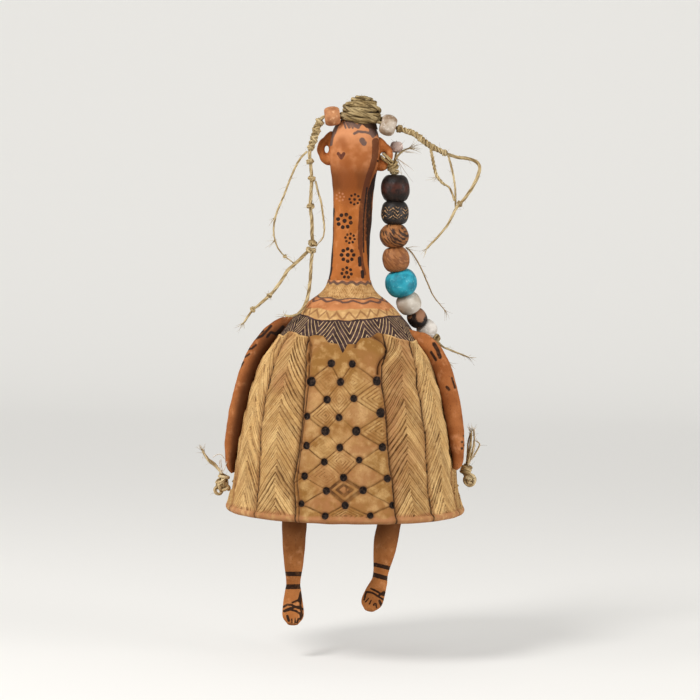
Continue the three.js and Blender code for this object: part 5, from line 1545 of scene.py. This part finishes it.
RIGHT_INNER = [
    (43.4, -11.6, -15.7), (44, -11.6, -17.7), (45.5, -11.6, -24.4), (47.4, -11.6, -31.7), (51, -11.6, -36.3),
    (54.6, -11.6, -38.5), (56.8, -11.6, -42.9), (57.8, -11.6, -46.2),
]
STRAND_TOP = np.array((24.84, 0, 190.98))
FIBRE = [
    (6.56, 0.9, -41.23), (8.96, 1.5, -43.08), (11.56, 1.5, -46.38), (15.26, 0.8, -52.68),
    (19.36, 0.4, -61.48), (22.86, 0, -68.58), (29.36, 0, -76.48),
]
FROM_CROWN = np.array((0, 0, CROWN))
CORDS = [  # piece, node, route, diameter, far end, seed, and its trim as add_cord takes it
    ("left_hair", "left_hair_cord", LEFT_HAIR, TWINE, "knot", 3, {
        "knots": [
            (0.21, 2.0, 1.6), (0.27, 1.9, 1.4), (0.33, 1.8, 1.4), (0.38, 1.4, 1.2), (0.47, 1.5, 1.6),
            (0.58, 1.6, 1.7), (0.754, 1.6, 1.7), (0.985, 1.8, 2.0),
        ],
        "plaits": [(0.19, 0.4, 1.5)],
    }),
    ("left_hair_long_tail", "left_hair_tail", LEFT_TAIL, TWINE, "bare", 13, {
        "tufted": 12, "knots": [(0.0, 1.4, 1.4), (0.62, 0.9, 1.2), (0.84, 1.1, 1.4)],
    }),
    ("left_hair_shoulder_tail", "left_hair_drop", LEFT_DROP, TWINE, "bare", 23, {
        "tufted": 10, "knots": [(0.0, 1.4, 1.4)],
    }),
    ("left_hair_side_strand", "left_hair_side", LEFT_SIDE, THIN, "bare", 33, {"tufted": 5}),
    ("left_hair_outer_loop", "left_hair_loop", LEFT_LOOP, THIN, "bare", 43, {
        "tufted": 6, "knots": [(0.93, 0.8, 1.6)],
        "frays": [(0.6, (-0.6, 0, -0.8), 5, 6.0), (0.78, (-0.7, 0, -0.7), 6, 7.0)],
    }),
    ("right_hair", "right_hair_cord", RIGHT_HAIR, TWINE, "bare", 53, {
        "tufted": 10,
        "knots": [
            (0.115, 1.5, 1.8), (0.17, 1.2, 1.2), (0.23, 1.3, 1.3), (0.3, 1.2, 1.2), (0.36, 1.2, 1.3),
            (0.74, 1.2, 1.4),
        ],
        "plaits": [(0.1, 0.36, 1.1)],
    }),
    ("right_hair_middle_strand", "right_hair_middle", RIGHT_MIDDLE, THIN, "object", 63, {}),
    ("right_hair_inner_strand", "right_hair_inner", RIGHT_INNER, THIN, "object", 73, {
        "plaits": [(0.05, 0.7, 0.55)], "frays": [(0.52, (-0.75, 0, -0.6), 6, 6.5)],
    }),
]
FIBRE_FRAYS = [(0.02, (0.8, -0.1, -0.5), 4, 9.0), (0.03, (0.9, 0.1, 0.2), 3, 7.0)]


def twine_path(route, origin=(0, 0, 0)):
    route = np.asarray(route, float) + origin
    return spline(route, int(run_length(route)[-1] / TWINE_STEP) + 2)


def along_path(path, share):
    """A point on a path, and the way the path runs there."""
    index = int(np.clip(share * (len(path) - 1), 1, len(path) - 2))
    return path[index], path[index + 1] - path[index - 1]


def add_cord(
    name, node, path, diameter, body, far_end, seed,
    knots=(), plaits=(), tufted=0, frays=(), twine=pale_twine,
):
    """A free cord with its trim.

    A knot is (share of the way, radius, turns), a plait (start, end, radius), and a fray
    (share of the way, heading, count, length). A tufted end has so many fibres."""
    skin = Skin()
    add_twine(skin, path, diameter, seed, taper=0.35 if far_end == "bare" else 0.0)
    piece = add_piece(name, skin, twine, body, "twine", [node])
    trim = Skin()
    fuzz(trim, path, diameter, 3.0, seed + 7)
    for start, end, radius in plaits:
        add_plait(trim, path, start, end, radius, 0.75 * diameter, seed + int(60 * start))
    for share, radius, turns in knots:
        add_knot(trim, *along_path(path, share), radius, turns, diameter, seed + int(100 * share))
    for share, heading, count, length in frays:
        tuft(trim, along_path(path, share)[0], heading, count, length, 0.3, seed + int(80 * share))
    if tufted:
        tuft(trim, path[-1], along_path(path, 1.0)[1], tufted, 6.5, 0.4, seed + 17)
    trimming = add_piece(name + "_trim", trim, twine, body, "twine")


for cord_name, cord_node, cord_route, diameter, far_end, seed, trim in CORDS:
    cord_path = twine_path(cord_route, FROM_CROWN)
    add_cord(cord_name, cord_node, cord_path, diameter, "doll", far_end, seed, **trim)
add_cord(
    "stray_fibre", "strand_fibre", twine_path(FIBRE, STRAND_TOP), STRAY, "bead_strand", "bare", 83,
    tufted=6, frays=FIBRE_FRAYS, twine=dark_twine,
)

# The earring's strand, its end knot and the tie that holds it

END_TAILS = [
    [(0, 0, 0), (3.4, 1, -4.4), (8.6, 1.4, -6.8), (18.6, 1.4, -10.6)],
    [(0, 0, 0), (2.8, -0.6, -6), (5, -1.2, -10.4), (8, -2, -14)],
]
END_KNOT_GAP = 3.5
STRAND_ROWS = 300
STRAND_START = 0.8  # under the top of the strand
STRAND_OVER = 0.9  # past the last bead


def strand_route():
    """The line of twine through the strand's beads, and the middle of the knot under them."""
    route = [STRAND_TOP - (0, 0, STRAND_START)]
    for bead_row in BEADS[:STRAND_COUNT]:
        place, axis, length = bead_places[bead_row[0]]
        route += [place + axis * length / 2, place - axis * length / 2]
    knot = route[-1] - axis * END_KNOT_GAP
    route.append(route[-1] - axis * STRAND_OVER)
    return evenly(np.array(route), STRAND_ROWS), knot


strand_line, end_knot = strand_route()
strand_skin = Skin()
add_twine(strand_skin, strand_line, TWINE, 91, slack=0.0)
strand = add_piece("strand_twine", strand_skin, dark_twine, "bead_strand", "twine", ["strand_cord"])
end_skin = Skin()
for step in range(3):
    knot_axis = (-0.66 + 0.5 * step, -0.38, 0.64 - 0.4 * step)
    add_wrap(end_skin, end_knot, knot_axis, 1.75, 1.7, 1.9, 111 + step, pitch=1.0)
for step, tail in enumerate(END_TAILS):
    add_tail(end_skin, twine_path(tail, end_knot), THIN, 121 + step, 8, 6.0)
end_piece = add_piece("strand_knot", end_skin, pale_twine, "bead_strand", "twine", ["strand_end_knot"])

EAR_EYE = np.array((HEAD_SHIFT + 14.7, 0, 202.0))
EAR_ARC = 4.8
TIE_TOP = np.array((22.44, 0, 196.38))
TAIL_START = np.array((23.04, 0, 195.03))
TIE_TAIL = [(0, 0, 0), (2.6, 1, 5.6), (5.6, 1.5, 8.8), (9.6, 1.5, 10.6)]
TIE_BEAD = [(0, 0, 0), (1.4, 3.6, 4.6), (2.1, 5.2, 8.4), (2.1, 5.4, 10.9), (2.1, 5.6, 13.4), (2, 5.8, 14.3)]
TIE_THREADS = [  # start, heading, count and length of fine pale threads
    ((2.0, 5.0, 8.0), (-0.2, -0.7, 0.5), 7, 6.0), ((2.0, 5.0, 11.0), (0.8, -0.3, 0.2), 8, 9.0),
    ((5.6, 1.5, 8.8), (1.0, 0, -0.1), 7, 9.0), ((3.0, 1.0, 4.0), (0.8, -0.2, -0.7), 5, 14.0),
]
TIE_ANGLE = math.radians(42)
TIE_HALF_WIDTH = 3.6
TIE_HALF_DEPTH = 4.58
TIE_TWINE = 1.7
TIE_LEGS = 1.5
TIE_STEPS = 90
TIE_LEG_STEPS = 30
TIE_FOOT = STRAND_TOP - (0, 0, 1.2)
TIE_WINDINGS = [  # share of the way down the tie, radius and diameter
    (0.08, 3.0, 1.8), (0.35, 2.6, 1.68), (0.62, 2.2, 1.56), (0.89, 1.8, 1.44),
]
TIE_TUFTS = [(-0.7, -0.6, -0.2), (0.5, -0.8, -0.2), (0.8, -0.4, -0.25), (-0.3, -0.9, -0.15)]
tie_skin = Skin()
ring_turns = np.linspace(0, 2 * math.pi, TIE_STEPS)
ring_out = EAR_ARC + TIE_HALF_WIDTH * np.cos(ring_turns)
for step, shift in enumerate((-1.1, 1.1)):
    ring_path = EAR_EYE + np.stack([
        ring_out * math.cos(TIE_ANGLE) + shift * math.sin(TIE_ANGLE), TIE_HALF_DEPTH * np.sin(ring_turns),
        -ring_out * math.sin(TIE_ANGLE) + shift * math.cos(TIE_ANGLE),
    ], axis=1)
    add_twine(tie_skin, ring_path, TIE_TWINE, 141 + step, slack=0.3)
neck_axis = STRAND_TOP - TIE_TOP
for step, (share, radius, diameter) in enumerate(TIE_WINDINGS):
    winding = TIE_TOP + neck_axis * share
    add_wrap(tie_skin, winding, neck_axis, radius, 1.25, diameter, 151 + step, pitch=1.2, tilt=0.6)
for step, shift in enumerate((-0.7, 0.7)):
    leg_path = [TIE_TOP + (shift, 0.4, 0), TIE_TOP + neck_axis * 0.5 + (shift, 0, 0), TIE_FOOT]
    add_twine(tie_skin, spline(leg_path, TIE_LEG_STEPS), TIE_LEGS, 156 + step)
add_tail(tie_skin, twine_path(TIE_TAIL, TAIL_START), THIN, 161, 18, 8.0, 0.55)
add_tail(tie_skin, twine_path(TIE_BEAD, TAIL_START), THIN, 162, 4, 1.8)
for step, heading in enumerate(TIE_TUFTS):
    tuft(tie_skin, STRAND_TOP + (0, -2.0, 1.4), heading, 3, 6.0, 0.2, 176 + step)
add_piece("ear_tie_twine", tie_skin, pale_twine, "ear_tie", "twine", ["ear_tie"])
tie_threads = Skin()
for step, (start, heading, count, length) in enumerate(TIE_THREADS):
    tuft(tie_threads, TAIL_START + start, heading, count, length, 0.4, 321 + step, radius=0.2)
add_piece("ear_tie_threads", tie_threads, white_twine, "ear_tie", "twine", ["ear_tie"])

# Knots under the hands, placed where the photograph shows them


def from_photo(places, depth=0.0):
    """Points that show at places in the photograph, at a depth in millimetres behind the bell's axis."""
    places = np.asarray(places, float)
    scale = CAMERA_SENSOR / CAMERA_LENS / PHOTO_SIZE
    right = (places[..., 0] - PHOTO_SIZE / 2) * scale
    up = (PHOTO_SIZE / 2 - places[..., 1]) * scale
    ray = right[..., None] * np.array(view_right) + up[..., None] * np.array(view_up) - np.array(look_back)
    eye = (np.array(view_eye) - (0, 0, RIM_LEVEL)) / MM
    return eye + ray * ((depth - eye[1]) / ray[..., 1])[..., None]


KNOT_FUZZ = np.array([(-2, -2, -2), (0, -2.5, 0), (2, -2, 2)])
KNOT_TWINE = 1.9
LEFT_WINDINGS = [  # place, axis, radius, turns
    ((224, 476.5), (0.4, 0.3, 1), 2.5, 1.3), ((221.6, 480.5), (-0.6, -0.2, 1), 2.9, 1.3),
    ((225, 482), (0.9, -0.3, 0.5), 2.7, 1.3), ((222.6, 485.6), (0.3, 0.9, 0.6), 2.8, 1.3),
    ((225, 488), (-0.3, -0.5, 1), 2.3, 1.2), ((218.4, 490.6), (0.5, -1, 0.3), 2.0, 1.1),
    ((220, 486.6), (0.9, 0.2, 0.3), 2.2, 1.1), ((223, 483), (0.2, -0.9, 0.5), 1.4, 1.2),
]
RIGHT_WINDINGS = [
    ((466, 469.6), (0.35, 0, 1), 2.5, 3.4), ((469.6, 480), (0.3, -1, 0.1), 3.0, 1.3),
    ((470.2, 481.5), (-0.2, -1, 0.2), 2.4, 1.2), ((468, 477), (0.5, 0.1, 1), 2.5, 1.4),
    ((469.8, 480.6), (0.5, -1, -0.2), 1.3, 1.3),
]
LEFT_ENDS = [  # diameter, places, fibres at the end and their length
    (1.8, [(223, 474), (216.5, 467), (209.8, 461.3), (205.6, 456), (202.3, 450.4)], 12, 5.0),
    (1.2, [(222, 474), (215, 464), (208, 458.6), (203.8, 452.6)], 8, 5.0),
]
RIGHT_ENDS = [
    (1.6, [(467.5, 466), (469.4, 455), (470.6, 443), (471.4, 432)], 14, 5.0),
    (1.3, [(468.6, 465), (472.4, 452), (474.4, 440), (473.6, 431)], 10, 5.0),
    (1.2, [(466.4, 465), (467.6, 454), (468, 444), (470, 434)], 8, 5.0),
    (1.0, [(471, 460), (475, 454), (477.9, 448.7), (479.6, 444.1), (476.7, 441.2)], 4, 3.0),
]
LEFT_THREADS = [
    [(224.7, 459), (221, 454.6), (217, 454.6), (212.6, 457.3)], [(220.7, 459), (221.4, 466), (223, 473.4)],
    [(219.4, 460), (219.8, 467), (221.6, 473.4)], [(222.6, 473), (227, 462), (231, 453), (233.4, 447.6)],
]
RIGHT_THREADS = [[(468, 466), (474.4, 452), (475, 438), (474.4, 428)]]
for knot_name, windings, ends, threads, seed in (
    ("left_hand_knot", LEFT_WINDINGS, LEFT_ENDS, LEFT_THREADS, 181),
    ("right_hand_knot", RIGHT_WINDINGS, RIGHT_ENDS, RIGHT_THREADS, 211),
):
    knot_skin = Skin()
    for step, (place, axis, radius, turns) in enumerate(windings):
        centre = from_photo(place)
        add_wrap(knot_skin, centre, axis, radius, turns, KNOT_TWINE, seed + step, pitch=1.5, tilt=0.4)
        fuzz(knot_skin, centre + KNOT_FUZZ, KNOT_TWINE, 2.0, seed + step)
    for step, (diameter, places, count, length) in enumerate(ends):
        tail = from_photo(places, -0.6 + 0.6 * step)
        add_tail(knot_skin, twine_path(tail), diameter, seed + 9 + step, count, length)
    add_piece("twine_" + knot_name, knot_skin, knot_twine, "doll", "twine", [knot_name])
    thread_skin = Skin()
    for step, places in enumerate(threads):
        add_twine(thread_skin, twine_path(from_photo(places, -3.0)), FINE, seed + 19 + step, sides=8)
    add_piece("pale_threads_" + knot_name, thread_skin, white_twine, "doll", "twine", [knot_name])

CROSS_HALF_LENGTH = 64.2
CROSS_STEPS = 380
cross_skin = Skin()
cross_ends = [(side * CROSS_HALF_LENGTH, 0, LEG_CORD_HEIGHT) for side in (-1, 1)]
add_twine(cross_skin, np.linspace(*cross_ends, CROSS_STEPS), TWINE, 231, slack=0.0)
add_piece("leg_cord_twine", cross_skin, dark_twine, "doll", "twine", ["leg_cord"])

# Topknot: twine wound up the crown's knob, with turns that cross over the others

KNOB_PLACE = np.array((4.2, 1.0, 220.5))
KNOB_LEAN = math.radians(5)
KNOB_HEIGHT = 13.5
KNOB_BASE = 9.0
KNOB_TOP = 3.0
KNOB_SIDES = 48
COIL_TWINE = 2.8
COIL_TURNS = 4.1
COIL_STEPS = 900
COIL_REACH = [(-1, 10.2), (2, 10.6), (5, 9.6), (8, 7.9), (11, 5.6), (13, 3.9)]  # to the middle of the twine
COIL_HIGHEST = 12.3
CROSSING_LOOPS = [  # rise, how far it tips up and down, and the turn where it starts
    (1.8, 1.8, 0.4), (4.4, -2.8, 1.9), (7.0, 2.4, 3.3), (9.6, -1.2, 4.6),
]
COIL_RIGHT = 0.8  # the winding leans a little further to the right than the knob
COIL_START = math.radians(-112)
THINNER = 0.9  # the crossing turns' thickness, as a share of the coil's
LOOP_OUT = 1.1
LOOP_TURNS = 0.93
LOOP_STEPS = 140
CAP_TURNS = 1.6
CAP_STEPS = 120
KNOB_ROWS = np.array([
    (KNOB_BASE + 1.6, -4.0), (KNOB_BASE, 0), (KNOB_TOP, KNOB_HEIGHT - 0.8), (0.05, KNOB_HEIGHT - 0.4),
])


def on_knob(points):
    return points @ tipped(KNOB_LEAN).T + KNOB_PLACE


def winding_path(angle, rise, out=0.0):
    reach = table(rise, COIL_REACH) + out
    lean = COIL_RIGHT * rise / KNOB_HEIGHT
    return on_knob(stacked(reach * np.cos(angle) + lean, reach * np.sin(angle), rise))


coil_skin = Skin()
coil_share = np.linspace(0, 1, COIL_STEPS)
coil_angle = 2 * math.pi * COIL_TURNS * coil_share + COIL_START
coil_rise = -0.4 + (COIL_HIGHEST + 0.2) * coil_share ** 0.95
coil_rise = coil_rise + 0.55 * np.sin(coil_angle + 0.8) + 0.3 * np.sin(coil_angle * 0.61)
coil_line = winding_path(coil_angle, coil_rise, 0.4 * np.sin(coil_angle * 0.37))
add_twine(coil_skin, coil_line, COIL_TWINE, 241, slack=0.2)
for step, (rise, tip, phase) in enumerate(CROSSING_LOOPS):
    loop_turns = np.linspace(0, 2 * math.pi * LOOP_TURNS, LOOP_STEPS) + phase
    loop = winding_path(loop_turns, rise + tip * np.sin(loop_turns + phase), LOOP_OUT)
    add_twine(coil_skin, loop, COIL_TWINE * THINNER, 251 + step, slack=0.2)
for step in range(2):
    cap_turns = np.linspace(0, 2 * math.pi * CAP_TURNS, CAP_STEPS) + step
    cap_reach = np.linspace(4.6, 0.6, CAP_STEPS)
    cap_rise = KNOB_HEIGHT - 1.4 + 0.4 * step + 0.25 * np.sin(cap_turns)
    cap = stacked(COIL_RIGHT + cap_reach * np.cos(cap_turns), cap_reach * np.sin(cap_turns), cap_rise)
    add_twine(coil_skin, on_knob(cap), COIL_TWINE * THINNER, 261 + step)
fuzz(coil_skin, coil_line, COIL_TWINE + 1.2, 9.0, 271, 4.0)
add_piece("topknot_twine", coil_skin, rope_twine, "doll", "twine", ["topknot_coil"])

knob_reach = KNOB_ROWS[:, :1]
knob_turns = full_turn(KNOB_SIDES)
knob = stacked(knob_reach * np.cos(knob_turns), knob_reach * np.sin(knob_turns), KNOB_ROWS[:, 1:])
knob_skin = Skin()
knob_skin.add_grid(on_knob(knob), wrap=True)
knob_clay = clay("knob_clay", (60, 44, 34), (84, 62, 48), (104, 78, 60))
add_piece("crown_knob", knob_skin, knob_clay.done(), *BELL)

# Stage and light, in metres

FLOOR_LEVEL = -0.318
STAGE_FRONT = -4.0
SWEEP_START = 1.6
SWEEP_ROUND = 1.1
SWEEP_STEPS = 16
STAGE_HALF_WIDTH = 5.0
STAGE_HEIGHT = 5.0
FLOOR_GLOW = 0.33
BACKDROP_GLOW = 0.52
BACKDROP_SPAN = (0.5, 2.2)  # how far back the floor's paper turns into the backdrop's


def sweep_mesh():
    rows = [(STAGE_FRONT, FLOOR_LEVEL), (SWEEP_START, FLOOR_LEVEL)]
    for turn in np.linspace(0.1, math.pi / 2, SWEEP_STEPS):
        rise = SWEEP_ROUND * (1 - math.cos(turn))
        rows.append((SWEEP_START + SWEEP_ROUND * math.sin(turn), FLOOR_LEVEL + rise))
    rows.append((SWEEP_START + SWEEP_ROUND, STAGE_HEIGHT))
    mesh = bpy.data.meshes.new("studio_sweep")
    corners = [(x, y, z) for y, z in rows for x in (-STAGE_HALF_WIDTH, STAGE_HALF_WIDTH)]
    faces = [(2 * row, 2 * row + 1, 2 * row + 3, 2 * row + 2) for row in range(len(rows) - 1)]
    mesh.from_pydata(corners, [], faces)
    mesh.polygons.foreach_set("use_smooth", [True] * len(faces))
    return mesh


def paper_material():
    """Pale paper. What the camera, gloss or glass sees of it is a little brighter than the light it gives."""
    paper = Finish("studio_paper", (201, 199, 195), 0.95, 0.0)
    separate = paper.nodes.new("ShaderNodeSeparateXYZ")
    paper.links.new(paper.place, separate.inputs[0])
    paper.coat(paper.span(separate.outputs[1], *BACKDROP_SPAN), (182, 180, 175))
    rays = paper.nodes.new("ShaderNodeLightPath").outputs
    seen = paper.math("MAXIMUM", rays["Is Camera Ray"], rays["Is Glossy Ray"])
    seen = paper.math("MAXIMUM", seen, rays["Is Transmission Ray"])
    glow = paper.span(separate.outputs[1], *BACKDROP_SPAN, FLOOR_GLOW, BACKDROP_GLOW)
    paper.put(paper.shader.inputs["Emission Color"], (252, 251, 248))
    paper.put(paper.shader.inputs["Emission Strength"], paper.times(seen, glow))
    return paper.done()


sweep = bpy.data.objects.new("studio_sweep", sweep_mesh())
bpy.context.scene.collection.objects.link(sweep)
sweep.data.materials.append(paper_material())

# The light that the world gives, and what the camera sees of it on top
SKY_LIGHT = 0.4
SKY_GLOW = 0.4
world = bpy.data.worlds.new("studio_world")
world.use_nodes = True
sky = world.node_tree
sky_background = sky.nodes["Background"].inputs
sky_background["Color"].default_value = colour(250, 249, 247)
sky_rays = sky.nodes.new("ShaderNodeLightPath").outputs
sky_seen = sky.nodes.new("ShaderNodeMath")
sky_seen.operation = "MAXIMUM"
sky_strength = sky.nodes.new("ShaderNodeMath")
sky_strength.operation = "MULTIPLY_ADD"
sky_strength.inputs[1].default_value = SKY_GLOW
sky_strength.inputs[2].default_value = SKY_LIGHT
for output, target in (
    (sky_rays["Is Camera Ray"], sky_seen.inputs[0]), (sky_rays["Is Transmission Ray"], sky_seen.inputs[1]),
    (sky_seen.outputs[0], sky_strength.inputs[0]), (sky_strength.outputs[0], sky_background["Strength"]),
):
    sky.links.new(output, target)
bpy.context.scene.world = world

LAMP_TARGET = Vector((0, 0, -0.15))
LAMPS = [  # name, place, size and power
    ("key_lamp", (-0.85, -1.1, 1.25), 0.6, 24.0),
    ("left_lamp", (-1.5, -0.6, 0.2), 1.0, 14.0),
    ("fill_lamp", (1.5, -0.8, 0.15), 1.0, 21.0),
]
for lamp_name, lamp_place, lamp_size, lamp_power in LAMPS:
    lamp_data = bpy.data.lights.new(lamp_name, "AREA")
    lamp_data.shape = "DISK"
    lamp_data.size = lamp_size
    lamp_data.energy = lamp_power
    lamp = bpy.data.objects.new(lamp_name, lamp_data)
    lamp_turn = (Vector(lamp_place) - LAMP_TARGET).to_track_quat("Z", "Y")
    lamp.matrix_world = Matrix.Translation(lamp_place) @ lamp_turn.to_matrix().to_4x4()
    bpy.context.scene.collection.objects.link(lamp)

bpy.context.scene.view_settings.view_transform = "Standard"
